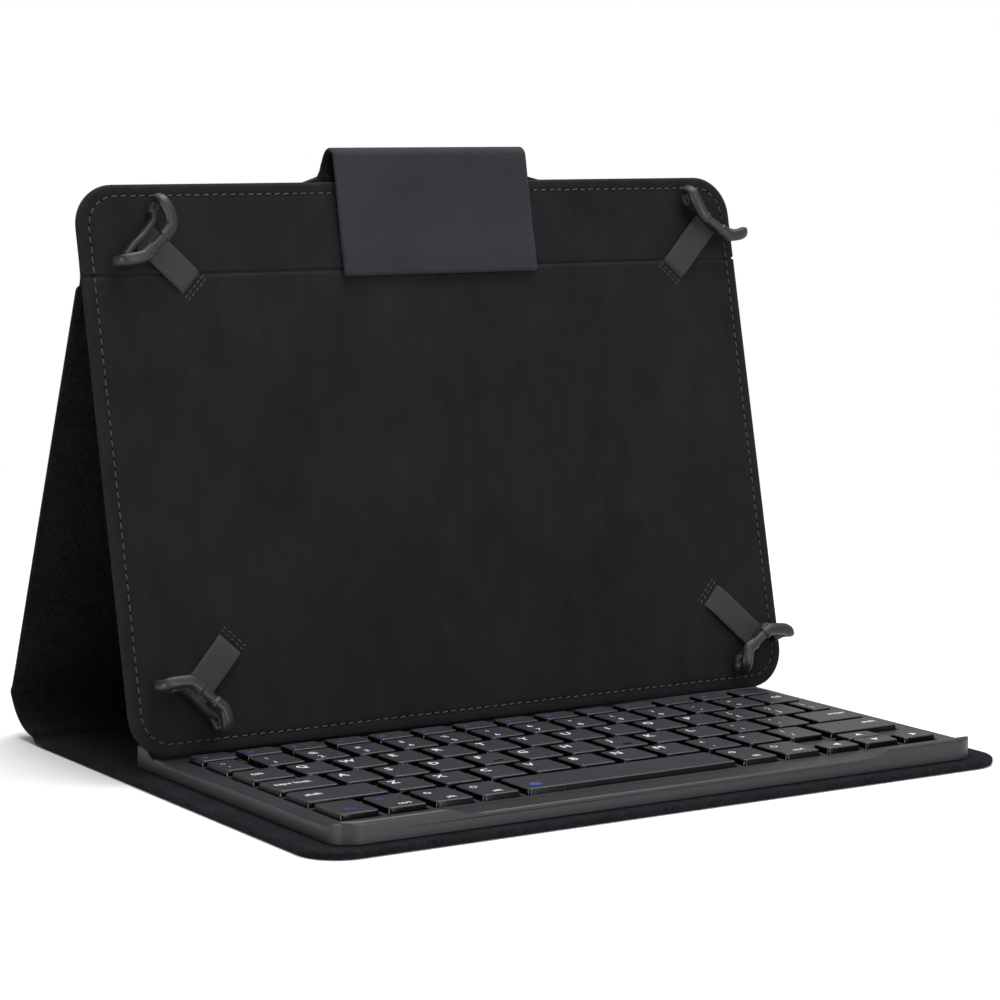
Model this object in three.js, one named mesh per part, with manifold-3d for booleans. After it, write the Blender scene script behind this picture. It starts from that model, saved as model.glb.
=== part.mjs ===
// Tablet keyboard case: a folding cover that stands a ten-inch tablet on a detachable
// magnetic keyboard. Millimetres, +Z up. X runs along the width, the typist sits at -Y.
// Z = 0 is the table under the front cover, X = 0 is the middle of the case and Y = 0 lies
// near the middle of the front cover's depth. The tablet itself is not part of the case.
// In the tilted groups, T is the height measured along the group's own slope.
import * as THREE from 'three';
import { mergeVertices } from 'three/addons/utils/BufferGeometryUtils.js';
import Module from 'manifold-3d';

const manifold = await Module();
manifold.setup();

// ---------------------------------------------------------------- shared dimensions
const HALF_W = 263 / 2; // half width of every cover
const CORNER = 14; // radius of the covers' free corners
const BOARD = 1.2; // thickness of the stiffening board
const BOARD_INSET = 1.5; // board edge inside the cloth edge
const FLAP_X = 4; // middle of the closing flap, a little right of the case's
const CATCH_Y = -20; // middle of the keyboard's side magnets and of their catch plates

// ---------------------------------------------------------------- materials
const CLOTH = { color: 0x2d2d30, roughness: 0.9 };
const LINING = { color: 0x141414, roughness: 0.95 };
const CARD = { color: 0x6b5a48, roughness: 0.9 };
const HIDE = { color: 0x231e20, roughness: 0.75 };
const SHELL = { color: 0x3c3c40, roughness: 0.5 };
const KEYCAP = { color: 0x1d1d20, roughness: 0.35 };
const SILICONE = { color: 0x37373a, roughness: 0.45 };
const ELASTIC = { color: 0x1b1b1c, roughness: 0.9 };
const STEEL = { color: 0xb9bbbe, roughness: 0.35, metalness: 1 };
const RUBBER = { color: 0x222222, roughness: 0.9 };
const MEMBRANE = { color: 0x8a8f6a, roughness: 0.4 };
const BATTERY = { color: 0x9aa0a6, roughness: 0.5, metalness: 0.4 };
const CIRCUIT = { color: 0x1f5a34, roughness: 0.5 };
const CONTROL = { color: 0x2a2a2c, roughness: 0.5 };
const WINDOW = { color: 0xcad4e6, roughness: 0.2 };

// ---------------------------------------------------------------- groups and pieces
const rad = THREE.MathUtils.degToRad;
const model = new THREE.Group();

// group tilted about X, with its origin at (y, z)
function tilted(y, z, degrees) {
  const group = new THREE.Group();
  group.position.set(0, y, z);
  group.rotation.x = rad(degrees);
  model.add(group);
  return group;
}

function piece(parent, name, geometry, finish) {
  const mesh = new THREE.Mesh(geometry, new THREE.MeshStandardMaterial(finish));
  mesh.name = name;
  parent.add(mesh);
}

// ---------------------------------------------------------------- booleans
function toManifold(geometry) {
  const bare = new THREE.BufferGeometry();
  bare.setAttribute('position', geometry.attributes.position);
  bare.setIndex(geometry.index);
  const welded = mergeVertices(bare, 1e-4);
  const mesh = new manifold.Mesh({
    numProp: 3,
    vertProperties: new Float32Array(welded.attributes.position.array),
    triVerts: new Uint32Array(welded.index.array),
  });
  mesh.merge();
  return new manifold.Manifold(mesh);
}

function toGeometry(solid) {
  const mesh = solid.getMesh();
  const geometry = new THREE.BufferGeometry();
  const positions = new Float32Array(mesh.vertProperties);
  geometry.setAttribute('position', new THREE.BufferAttribute(positions, 3));
  geometry.setIndex(new THREE.BufferAttribute(new Uint32Array(mesh.triVerts), 1));
  return geometry;
}

const carve = (solid, tools) => tools.reduce((rest, tool) => rest.subtract(toManifold(tool)), solid);
const cut = (body, tools) => toGeometry(carve(toManifold(body), tools));
const join = (list) => toGeometry(list.map(toManifold).reduce((a, b) => a.add(b)));

// ---------------------------------------------------------------- shapes
function box(x0, x1, y0, y1, z0, z1) {
  const geometry = new THREE.BoxGeometry(x1 - x0, y1 - y0, z1 - z0);
  geometry.translate((x0 + x1) / 2, (y0 + y1) / 2, (z0 + z1) / 2);
  return geometry;
}

// box centred on (x, y)
const boxAt = (x, y, halfX, halfY, z0, z1) =>
  box(x - halfX, x + halfX, y - halfY, y + halfY, z0, z1);

// rectangle with a radius for each corner, in the order x0y0, x1y0, x1y1, x0y1
const plan = (x0, x1, y0, y1, radii = [0, 0, 0, 0]) => ({ x0, x1, y0, y1, radii });
const inset = ({ x0, x1, y0, y1, radii }, by) =>
  plan(x0 + by, x1 - by, y0 + by, y1 - by, radii.map((r) => r - by));

function outline({ x0, x1, y0, y1, radii }, segments) {
  const corners = [[x0, y0, 1, 1], [x1, y0, -1, 1], [x1, y1, -1, -1], [x0, y1, 1, -1]];
  return corners.flatMap(([x, y, inX, inY], corner) => {
    const r = radii[corner];
    if (r === 0) return [[x, y]];
    return Array.from({ length: segments + 1 }, (_, i) => {
      const angle = Math.PI + (Math.PI / 2) * (corner + i / segments);
      return [x + inX * r + r * Math.cos(angle), y + inY * r + r * Math.sin(angle)];
    });
  });
}

const toShape = (points) => new THREE.Shape(points.map(([x, y]) => new THREE.Vector2(x, y)));
const extrude = (points, depth) =>
  new THREE.ExtrudeGeometry(toShape(points), { depth, bevelEnabled: false });

// profile drawn in X, Z and run along Y
function across(points, y0, y1) {
  const geometry = extrude(points, y1 - y0);
  geometry.rotateX(Math.PI / 2);
  geometry.translate(0, y1, 0);
  return geometry;
}

// profile drawn in Y, Z and run along X
function along(points, x0, x1) {
  const geometry = extrude(points, x1 - x0);
  geometry.applyMatrix4(new THREE.Matrix4().set(
    0, 0, 1, x0,
    1, 0, 0, 0,
    0, 1, 0, 0,
    0, 0, 0, 1,
  ));
  return geometry;
}

// plate lying in XY
function slab(sheet, z0, z1, segments = 5) {
  const geometry = extrude(outline(sheet, segments), z1 - z0);
  geometry.translate(0, 0, z0);
  return geometry;
}

// plate standing in XZ, its plan drawn in X and T
const upright = (sheet, y0, y1) => across(outline(sheet, 5), y0, y1);

// closed skin over a stack of rings, bottom first, each with the same number of points
function skin(rings) {
  const count = rings[0].length;
  const top = (rings.length - 1) * count;
  const triangles = [];
  for (let level = 0; level < top; level += count) {
    for (let i = 0; i < count; i++) {
      const a = level + i;
      const b = level + (i + 1) % count;
      triangles.push(a, b, b + count, a, b + count, a + count);
    }
  }
  for (let i = 1; i < count - 1; i++) {
    triangles.push(0, i + 1, i);
    triangles.push(top, top + i, top + i + 1);
  }
  const geometry = new THREE.BufferGeometry();
  geometry.setAttribute('position', new THREE.Float32BufferAttribute(rings.flat(2), 3));
  geometry.setIndex(triangles);
  return geometry;
}

// ---------------------------------------------------------------- front cover
const FRONT_Y0 = -101; // free edge
const FRONT_Y1 = 98; // edge at the spine
const SKIN = 0.5; // one layer of cloth or lining
const GLUE = 0.1; // glue line between layers
const FRONT_T = 2 * (SKIN + GLUE) + BOARD;
const POCKET_Z = [1.0, 3]; // pockets cut from above the board
const CATCH_Z = [1.1, 1.75];
const CATCH_FIT = 0.3; // play between a catch plate and its pocket
const SIDE_CATCH = { x: 118, halfX: 5, halfY: 32 };
const FLAP_CATCH = { y: FRONT_Y0 + 12, halfX: 36, halfY: 7 };

const sideCatch = (side, fit, z) =>
  boxAt(side * SIDE_CATCH.x, CATCH_Y, SIDE_CATCH.halfX - fit, SIDE_CATCH.halfY - fit, ...z);
const flapCatch = (fit, z) =>
  boxAt(FLAP_X, FLAP_CATCH.y, FLAP_CATCH.halfX - fit, FLAP_CATCH.halfY - fit, ...z);

function addFrontCover() {
  const sheet = plan(-HALF_W, HALF_W, FRONT_Y0, FRONT_Y1, [CORNER, CORNER, 3, 3]);
  const boardZ = SKIN + GLUE;
  piece(model, 'front_cover_cloth', slab(sheet, 0, SKIN), CLOTH);
  // pockets in the board take the steel plates that the magnets hold on to
  piece(model, 'front_cover_board', cut(
    slab(inset(sheet, BOARD_INSET), boardZ, boardZ + BOARD),
    [sideCatch(-1, 0, POCKET_Z), sideCatch(1, 0, POCKET_Z), flapCatch(0, POCKET_Z)],
  ), CARD);
  piece(model, 'keyboard_catch_plate_left', sideCatch(-1, CATCH_FIT, CATCH_Z), STEEL);
  piece(model, 'keyboard_catch_plate_right', sideCatch(1, CATCH_FIT, CATCH_Z), STEEL);
  piece(model, 'flap_catch_plate', flapCatch(CATCH_FIT, CATCH_Z), STEEL);
  piece(model, 'front_cover_lining', slab(sheet, FRONT_T - SKIN, FRONT_T), LINING);
}

// ---------------------------------------------------------------- spine
const SPINE_Y = 101.5; // fold between front cover and spine
const SPINE_Z = 1.8;
const SPINE_ANGLE = 32.5; // above the table, degrees
const SPINE_L = 24.1; // fold to fold
const SPINE_MARGIN = 1.9; // from each fold to the layers' edges

function addSpine() {
  const spine = tilted(SPINE_Y, SPINE_Z, SPINE_ANGLE);
  const layer = (z0, z1) => box(-HALF_W, HALF_W, SPINE_MARGIN, SPINE_L - SPINE_MARGIN, z0, z1);
  piece(spine, 'spine_cloth', layer(-0.95, -0.1), CLOTH);
  piece(spine, 'spine_lining', layer(0.3, 0.9), LINING);
}

// ---------------------------------------------------------------- lower back cover
const BACK_ANGLE = 22.65; // from upright, leaning forward
const BACK_L = 159.5; // fold to fold

function addBackCover() {
  const back = tilted(
    SPINE_Y + SPINE_L * Math.cos(rad(SPINE_ANGLE)),
    SPINE_Z + SPINE_L * Math.sin(rad(SPINE_ANGLE)),
    BACK_ANGLE,
  );
  const sheet = plan(-HALF_W, HALF_W, 2.2, BACK_L - 1.8);
  const boardHalf = HALF_W - BOARD_INSET;
  const board = plan(-boardHalf, boardHalf, 3, BACK_L - 2.4);
  piece(back, 'back_cover_cloth', upright(sheet, 0.65, 1.2), CLOTH);
  piece(back, 'back_cover_board', upright(board, -0.4, 0.4), CARD);
  piece(back, 'back_cover_lining', upright(sheet, -1.1, -0.65), LINING);
}

// ---------------------------------------------------------------- tablet holder
// Origin at the tablet's lower front edge, local +Y pointing behind its glass.
const HOLDER_Y = 17;
const HOLDER_Z = 17.7;
const PANEL_LEAN = 12.28; // from upright, leaning back, degrees
const PANEL_T0 = -7.8;
const PANEL_T1 = 181;
const PANEL_FACE = 7.3; // front of the panel, behind the tablet's glass
const CREASE_T = 150.2; // fold between the upper band and the lower back
const BAND_INSET = 2.4; // the upper band is this much narrower each side
const TABLET_X0 = -119.9; // where the tablet's edges come
const TABLET_X1 = 129.7;
const TABLET_T = 174.1;
const SLOT_IN = 27; // strap slot, in from both tablet edges
const BAR_IN = 10.4; // middle of a hook's bar, in from both tablet edges

// Each corner: inX, inT point towards the tablet's middle. The loop's centre line is given
// inwards from the corner, as [in from the side, in from the top or bottom edge]:
// side = where it wraps the tablet's side, end = where it wraps the top or bottom,
// glass = its points over the glass, from the side to the end.
const CORNERS = [
  {
    name: 'top_left', x: TABLET_X0, t: TABLET_T, inX: 1, inT: -1,
    side: [-1.9, 19.8], end: [15.6, -1.3],
    glass: [[2.8, 19.7], [7.0, 18.8], [9.6, 16.6], [15.0, 12.2], [17.7, 8.6], [17.2, 4.2]],
  },
  {
    name: 'top_right', x: TABLET_X1, t: TABLET_T, inX: -1, inT: -1,
    side: [-2.4, 15.4], end: [20.4, -1.3],
    glass: [[1.6, 16.4], [6.6, 16.8], [9.4, 14.8], [16.2, 9.8], [18.0, 7.2], [19.4, 3.8]],
  },
  {
    name: 'bottom_left', x: TABLET_X0, t: 0, inX: 1, inT: 1,
    side: [-3.2, 15.6], end: [18.4, -1.9],
    glass: [[0.9, 15.9], [6.8, 15.9], [10.0, 13.3], [15.2, 8.2], [17.8, 5.8], [18.4, 2.2]],
  },
  {
    name: 'bottom_right', x: TABLET_X1, t: 0, inX: -1, inT: 1,
    side: [-1.8, 10.6], end: [21.0, -1.6],
    glass: [[2.7, 11.9], [8.8, 12.4], [11.6, 11.2], [17.0, 7.8], [19.6, 6.4], [21.0, 2.2]],
  },
];

// turns local +Z towards the tablet's middle and moves the part in from the corner
function atCorner(geometry, { x, t, inX, inT }, inward) {
  geometry.rotateY(Math.atan2(inX, inT));
  geometry.translate(x + inX * inward, 0, t + inT * inward);
  return geometry;
}

function addPanel(holder) {
  const sheet = plan(-HALF_W, HALF_W, PANEL_T0, PANEL_T1, [CORNER, CORNER, CORNER, CORNER]);
  const slots = CORNERS.map((corner) =>
    atCorner(box(-6.2, 6.2, PANEL_FACE - 1, PANEL_FACE + 0.9, -1.3, 1.3), corner, SLOT_IN));
  piece(holder, 'panel_face', cut(upright(sheet, PANEL_FACE, PANEL_FACE + 0.7), slots), HIDE);
  piece(holder, 'panel_board', upright(inset(sheet, BOARD_INSET), 8.2, 8.2 + BOARD), CARD);
  piece(holder, 'panel_backing', upright(sheet, 9.6, 10.2), LINING);
}

function addUpperBack(holder) {
  const boardHalf = HALF_W - 4;
  const board = plan(-boardHalf, boardHalf, CREASE_T + 2.6, PANEL_T1 - 2, [0, 0, 10, 10]);
  const clothHalf = HALF_W - BAND_INSET;
  const clothR = CORNER - BAND_INSET;
  const cloth = plan(-clothHalf, clothHalf, CREASE_T + 2, PANEL_T1, [0, 0, clothR, clothR]);
  piece(holder, 'upper_back_board', upright(board, 10.9, 12.0), CARD);
  piece(holder, 'upper_back_cloth', upright(cloth, 12.3, 12.9), CLOTH);
}

// ---------------------------------------------------------------- corner hooks
const LOOP_HALF_W = 1.7; // half axes of the loop's eight-sided section
const LOOP_HALF_T = 1.5;
const GLASS_Y = -2.0; // loop's centre line over the glass

// Centre line as [in from the side, in from the top or bottom edge, behind the glass].
function loopPath({ x, t, inX, inT, side, end, glass }) {
  const [sideA, sideB] = side;
  const [endA, endB] = end;
  const stations = [
    [3.6, sideB - 1.4, 4.7],
    [sideA + 1.3, sideB, 4.0],
    [sideA, sideB, 1.6],
    [sideA + 1.4, sideB, -1.2],
    ...glass.map(([a, b]) => [a, b, GLASS_Y]),
    [endA, endB + 1.4, -1.2],
    [endA, endB, 1.6],
    [endA, endB + 1.3, 4.0],
    [endA - 1.6, 3.8, 4.7],
  ];
  const points = stations.map(([a, b, y]) => new THREE.Vector3(x + inX * a, y, t + inT * b));
  return new THREE.CatmullRomCurve3(points, false, 'catmullrom', 0.5);
}

// silicone loop round one corner of the tablet, ending in a bar behind it
function hook(corner) {
  const section = Array.from({ length: 8 }, (_, i) => {
    const angle = (i * Math.PI) / 4;
    return [LOOP_HALF_W * Math.cos(angle), LOOP_HALF_T * Math.sin(angle)];
  });
  const loop = new THREE.ExtrudeGeometry(toShape(section), {
    steps: 34,
    extrudePath: loopPath(corner),
    bevelEnabled: false,
  });
  const bar = atCorner(box(-13.2, 13.2, 3.4, 6.3, -2.0, 2.0), corner, BAR_IN);
  return join([loop, bar]);
}

// elastic strap from the bar to the slot, where it turns back into the panel
function elastic(corner) {
  const slotDistance = (SLOT_IN - BAR_IN) * Math.SQRT2;
  const bend = slotDistance - 0.9;
  const strap = join([
    box(-5, 5, 5.6, 6.6, 3.0, bend),
    box(-5, 5, 5.6, PANEL_FACE + 0.55, bend, slotDistance + 0.5),
  ]);
  return atCorner(strap, corner, BAR_IN);
}

// ---------------------------------------------------------------- closing flap
// The riser stands above the top edge of the back; the tongue loops over it and hangs in
// front of the panel, where the tablet traps it while the case is open.
const FLAP_X0 = FLAP_X - 39;
const FLAP_X1 = FLAP_X + 39;
const FLAP_TIP = 148; // T of the tongue's free end
const RISER_T0 = PANEL_T1 + 1.4;
const RISER_T1 = 189.2;
const LOOP_Y = 8.3; // middle of the tongue's loop
const LOOP_T = 189.1;

// how far the riser's sides stand out from the tongue's: a long taper and a short root
function riserFlare(t) {
  const taper = 4 * ((192 - t) / 11) ** 1.3;
  const root = 5 * Math.max((183.8 - t) / 2.4, 0) ** 2;
  return taper + root;
}

function flapRiser() {
  const side = Array.from({ length: 7 }, (_, i) => {
    const t = RISER_T0 + (i / 6) ** 1.6 * (RISER_T1 - RISER_T0);
    return [riserFlare(t), t];
  });
  const right = side.map(([flare, t]) => [FLAP_X1 + flare, t]);
  const left = side.map(([flare, t]) => [FLAP_X0 - flare, t]).reverse();
  return across([...right, ...left], 11.1, 12.5);
}

function flapTongue() {
  // from the rear over the top to the front
  const arc = (radiusY, radiusT) => Array.from({ length: 9 }, (_, i) => {
    const angle = rad(8 + (172 * i) / 8);
    return [LOOP_Y + radiusY * Math.cos(angle), LOOP_T + radiusT * Math.sin(angle)];
  });
  const tip = [[4.4, FLAP_TIP + 1], [4.7, FLAP_TIP], [5.1, FLAP_TIP]];
  return along([...arc(3.9, 3.4), ...tip, ...arc(3.2, 2.7).reverse()], FLAP_X0, FLAP_X1);
}

function addFlap(holder) {
  const magnet = box(FLAP_X - 30, FLAP_X + 30, 5.35, 6.3, FLAP_TIP + 3, FLAP_TIP + 13);
  const lining = plan(FLAP_X0 + 0.5, FLAP_X1 - 0.5, FLAP_TIP + 0.5, 187);
  piece(holder, 'flap_riser', flapRiser(), CLOTH);
  piece(holder, 'flap_tongue_cloth', flapTongue(), CLOTH);
  piece(holder, 'flap_magnet', magnet, STEEL);
  piece(holder, 'flap_tongue_lining', upright(lining, 6.5, 6.95), LINING);
}

function addHolder() {
  const holder = tilted(HOLDER_Y, HOLDER_Z, -PANEL_LEAN);
  addPanel(holder);
  addUpperBack(holder);
  for (const corner of CORNERS) {
    piece(holder, `hook_${corner.name}`, hook(corner), SILICONE);
    piece(holder, `elastic_${corner.name}`, elastic(corner), ELASTIC);
  }
  addFlap(holder);
}

// ---------------------------------------------------------------- key layout
const KEYS_X = 114; // outer ends of the key rows
// rows as [front, back] of the caps' top faces
const letterRow = (index) => {
  const front = -62.3 + 17.8 * index;
  return [front, front + 14.3];
};
const MODIFIER_ROW = [-82.6, -66.2];
const LOWER_ROW = letterRow(0);
const MIDDLE_ROW = letterRow(1);
const UPPER_ROW = letterRow(2);
const NUMBER_ROW = letterRow(3);
const FUNCTION_ROW = [8.4, 17.4];
const LOW_ARROW_ROW = [MODIFIER_ROW[0], -75.0]; // half-height arrows
const HIGH_ARROW_ROW = [-73.4, MODIFIER_ROW[1]];

const evenKeys = (count, x0, pitch, width) =>
  Array.from({ length: count }, (_, i) => [x0 + i * pitch, x0 + i * pitch + width]);
const letterKeys = (count, x0) => evenKeys(count, x0, 16.8, 12.8);

// name, row, caps as [x0, x1] of their top faces
const KEY_GROUPS = [
  ['function_keys', FUNCTION_ROW, evenKeys(14, -KEYS_X, 16.55, 12.6)],
  ['number_keys', NUMBER_ROW, [[-KEYS_X, -104.4], ...letterKeys(12, -99), [101.4, KEYS_X]]],
  ['upper_letter_keys', UPPER_ROW, [[-KEYS_X, -99.2], ...letterKeys(12, -94.9), [106.2, KEYS_X]]],
  ['caps_lock_key', MIDDLE_ROW, [[-KEYS_X, -93.8]]],
  ['middle_letter_keys', MIDDLE_ROW, letterKeys(11, -90)],
  ['return_key', MIDDLE_ROW, [[94.8, KEYS_X]]],
  ['left_shift_key', LOWER_ROW, [[-KEYS_X, -86]]],
  ['lower_letter_keys', LOWER_ROW, letterKeys(10, -81.8)],
  ['right_shift_key', LOWER_ROW, [[86.4, KEYS_X]]],
  ['left_modifier_keys', MODIFIER_ROW, letterKeys(3, -97.4 - 16.6).length && evenKeys(4, -KEYS_X, 16.6, 12.8)],
  ['space_bar', MODIFIER_ROW, [[-47.8, 31]]],
  ['right_modifier_keys', MODIFIER_ROW, [[34.8, 47.8], [51.8, 65]]],
  ['left_arrow_key', LOW_ARROW_ROW, [[69, 81.6]]],
  ['up_arrow_key', HIGH_ARROW_ROW, [[85, 98]]],
  ['down_arrow_key', LOW_ARROW_ROW, [[85, 98]]],
  ['right_arrow_key', LOW_ARROW_ROW, [[101.4, KEYS_X]]],
].map(([name, row, keys]) => ({ name, row, keys }));

// ---------------------------------------------------------------- keyboard shells
const KB_HALF = 122.5; // half width
const KB_Y0 = -95.6;
const KB_Y1 = 44;
const KB_Z0 = 2.8; // underside
const KB_PLAN = plan(-KB_HALF, KB_HALF, KB_Y0, KB_Y1, [9, 9, 6, 6]);
const EDGE_R = 1.1; // roll of the outer edge
const DECK = 7.4; // deck surface
const DECK_T = 1.1;
const LIP = 9.7; // crest of the front lips and of the rear ridge
const WALL = 1.2;
const CAP_FLARE = 0.6; // how far a cap's foot stands out from its top face
const CAP_PLAY = 0.35; // clearance round a cap
const PORT = [56, 64]; // charging socket, x0 and x1
const SWITCH = [76, 88]; // sliding switch's opening, x0 and x1
const BUTTON_X = 98; // middle of the pairing button
const LIGHT = plan(102, 112, 36, 38.4); // light window's opening
const FEET = [[-108, -84], [108, -84], [-108, 30], [108, 30]];

// solid body whose side wall rolls over into a top face
function rolledBody(top) {
  const rolled = [0, 18, 36, 54, 72, 90].map(rad).map((angle) =>
    [EDGE_R * (1 - Math.cos(angle)), top - EDGE_R + EDGE_R * Math.sin(angle)]);
  return toManifold(skin([[0, KB_Z0], ...rolled].map(([by, z]) =>
    outline(inset(KB_PLAN, by), 10).map(([x, y]) => [x, y, z]))));
}

// soft S from (a, za) to (b, zb)
const soft = (a, b, za, zb, steps) => Array.from({ length: steps + 1 }, (_, i) =>
  [a + ((b - a) * i) / steps, za + ((zb - za) * (1 - Math.cos((Math.PI * i) / steps))) / 2]);

// ridge along the back, rising from the deck
function rearRidge() {
  return toManifold(along([
    [KB_Y1 + 1, KB_Z0],
    [KB_Y1 + 1, LIP + 1],
    [33.4, LIP + 1],
    ...soft(33.4, 28.2, LIP, DECK - 0.05, 8),
    [28.2, KB_Z0],
  ], -130, 130));
}

// raised lip at each end of the front edge: a slope in Y crossed with a ramp in X
function frontLip(side) {
  const slope = along([
    [KB_Y0 - 1, 6],
    [KB_Y0 + 9, 6],
    ...soft(KB_Y0 + 9, KB_Y0 + 2.2, DECK - 0.05, LIP, 7),
    [KB_Y0 + 1, LIP + 1],
    [KB_Y0 - 1, LIP + 1],
  ], -130, 130);
  const ramp = [
    [73, 6],
    [126, 6],
    [126, LIP + 1],
    [88, LIP + 1],
    ...soft(87, 75, LIP, DECK - 0.1, 12),
    [73, DECK - 0.1],
  ].map(([x, z]) => [side * x, z]);
  return toManifold(slope).intersect(toManifold(across(ramp, KB_Y0 - 1, KB_Y0 + 10)));
}

function keyHoles() {
  const margin = CAP_FLARE + CAP_PLAY;
  return KEY_GROUPS.flatMap(({ row: [y0, y1], keys }) => keys.map(([x0, x1]) =>
    box(x0 - margin, x1 + margin, y0 - margin, y1 + margin, 5, 8)));
}

function topShell() {
  const tall = rolledBody(LIP);
  const body = rolledBody(DECK)
    .add(tall.intersect(rearRidge()))
    .add(frontLip(-1).intersect(tall))
    .add(frontLip(1).intersect(tall));
  return toGeometry(carve(body, [
    slab(inset(KB_PLAN, WALL), 2, DECK - DECK_T, 10),
    box(-116, 116, 31.2, 42.4, 5, 8.5), // bay inside the ridge
    ...keyHoles(),
    // openings in the rear wall, then the light window's in the ridge top
    box(PORT[0] - 0.25, PORT[1] + 0.25, 42, 45, 4.35, 7.25),
    box(SWITCH[0], SWITCH[1], 42, 45, 4.8, 6.6),
    box(BUTTON_X - 2.2, BUTTON_X + 2.2, 42, 45, 4.5, 7.1),
    box(LIGHT.x0, LIGHT.x1, LIGHT.y0, LIGHT.y1, 8, 10),
  ]));
}

function addShells() {
  piece(model, 'keyboard_top_shell', topShell(), SHELL);
  piece(model, 'keyboard_bottom_shell', cut(
    slab(inset(KB_PLAN, WALL + 0.2), KB_Z0, 3.6, 6),
    FEET.map(([x, y]) => boxAt(x, y, 6.3, 2.8, 2, 3.25)),
  ), SHELL);
  FEET.forEach(([x, y], i) => {
    const foot = plan(x - 6, x + 6, y - 2.5, y + 2.5, [2.4, 2.4, 2.4, 2.4]);
    piece(model, `keyboard_foot_${i + 1}`, slab(foot, 2.5, 3.15, 3), RUBBER);
  });
}

// ---------------------------------------------------------------- keyboard innards
const STACK_Y = [-85, 23.8]; // switch layers under the keys

function addInnards() {
  const magnet = (side) => boxAt(side * 119.2, CATCH_Y, 1.8, 30, 3.8, 5.9);
  const battery = plan(-70, 30, 32, 42, [0.8, 0.8, 0.8, 0.8]);
  piece(model, 'key_support_plate', box(-116.4, 116.4, ...STACK_Y, 3.7, 4.0), STEEL);
  piece(model, 'contact_membrane', box(-116, 116, ...STACK_Y, 4.1, 4.5), MEMBRANE);
  piece(model, 'keyboard_magnet_left', magnet(-1), STEEL);
  piece(model, 'keyboard_magnet_right', magnet(1), STEEL);
  piece(model, 'battery', slab(battery, 3.9, 8.1, 2), BATTERY);
  piece(model, 'control_board', box(40, 115, 32, 42.4, 3.8, 4.3), CIRCUIT);
  piece(model, 'charging_socket', cut(
    box(...PORT, 38, 43.7, 4.5, 7.1),
    [box(PORT[0] + 0.5, PORT[1] - 0.5, 39, 45, 5.0, 6.6)],
  ), STEEL);
  piece(model, 'power_switch', join([
    box(77, 81.6, 40.6, 42.2, 4.6, 7.0),
    box(78, 80.6, 42, 44.7, 5.05, 6.35),
  ]), CONTROL);
  piece(model, 'pairing_button', join([
    box(BUTTON_X - 2.6, BUTTON_X + 2.6, 40.2, 41.6, 4.5, 7.1),
    box(BUTTON_X - 1.8, BUTTON_X + 1.8, 41, 44.5, 4.9, 6.7),
  ]), CONTROL);
  const light = inset(LIGHT, 0.2);
  piece(model, 'status_light_window',
    box(light.x0, light.x1, light.y0, light.y1, 5.2, 9.75), WINDOW);
}

// ---------------------------------------------------------------- keys
const CAP_Z0 = 6.0;
const CAP_TOP = 9.3;
const CAP_CHAMFER = 0.7; // corner cut
const WEB_Z = [5.75, 6.15];

function cap([x0, x1], [y0, y1]) {
  const c = CAP_CHAMFER;
  const ring = (out, z) => {
    const [left, right, front, rear] = [x0 - out, x1 + out, y0 - out, y1 + out];
    return [
      [left + c, front, z], [right - c, front, z], [right, front + c, z], [right, rear - c, z],
      [right - c, rear, z], [left + c, rear, z], [left, rear - c, z], [left, front + c, z],
    ];
  };
  return skin([ring(CAP_FLARE, CAP_Z0), ring(CAP_FLARE, DECK + 0.2), ring(0, CAP_TOP)]);
}

// caps of a group hang on one thin moulded web under the deck
function addKeys() {
  for (const { name, row, keys } of KEY_GROUPS) {
    const y = (row[0] + row[1]) / 2;
    const web = box(keys[0][0], keys[keys.length - 1][1], y - 2, y + 2, ...WEB_Z);
    piece(model, name, join([...keys.map((key) => cap(key, row)), web]), KEYCAP);
  }
}

addFrontCover();
addSpine();
addBackCover();
addHolder();
addShells();
addInnards();
addKeys();

export default model;
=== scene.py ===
"""A tablet case standing open, with a keyboard in it.

The front cover lies on the floor with the keyboard on it. Behind it a spine and a back
cover fold up, and the tablet panel leans back against them, with four rubber corner hooks
and a closing flap at its top. X runs to the right, Y to the back and Z up. Pieces are drawn
in millimetres and turned into metres when their meshes are made.
"""
import bpy
import bmesh
import math
import numpy as np
from mathutils import Matrix, Vector


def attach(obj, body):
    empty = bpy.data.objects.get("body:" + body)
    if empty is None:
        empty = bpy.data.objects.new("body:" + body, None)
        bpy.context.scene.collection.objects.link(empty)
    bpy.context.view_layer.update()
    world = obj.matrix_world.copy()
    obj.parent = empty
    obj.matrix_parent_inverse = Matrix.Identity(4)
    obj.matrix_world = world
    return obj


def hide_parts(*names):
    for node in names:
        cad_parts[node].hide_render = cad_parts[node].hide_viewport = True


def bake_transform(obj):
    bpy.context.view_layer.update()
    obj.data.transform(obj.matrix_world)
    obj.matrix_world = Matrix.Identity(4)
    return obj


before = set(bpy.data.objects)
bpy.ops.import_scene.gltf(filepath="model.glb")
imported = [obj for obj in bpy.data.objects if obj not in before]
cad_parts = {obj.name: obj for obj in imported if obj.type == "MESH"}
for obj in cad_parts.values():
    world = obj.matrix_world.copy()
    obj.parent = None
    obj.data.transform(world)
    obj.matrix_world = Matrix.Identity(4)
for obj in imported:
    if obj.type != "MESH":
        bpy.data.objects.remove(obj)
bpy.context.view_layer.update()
rng = np.random.default_rng(7)
rad = math.radians


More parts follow.
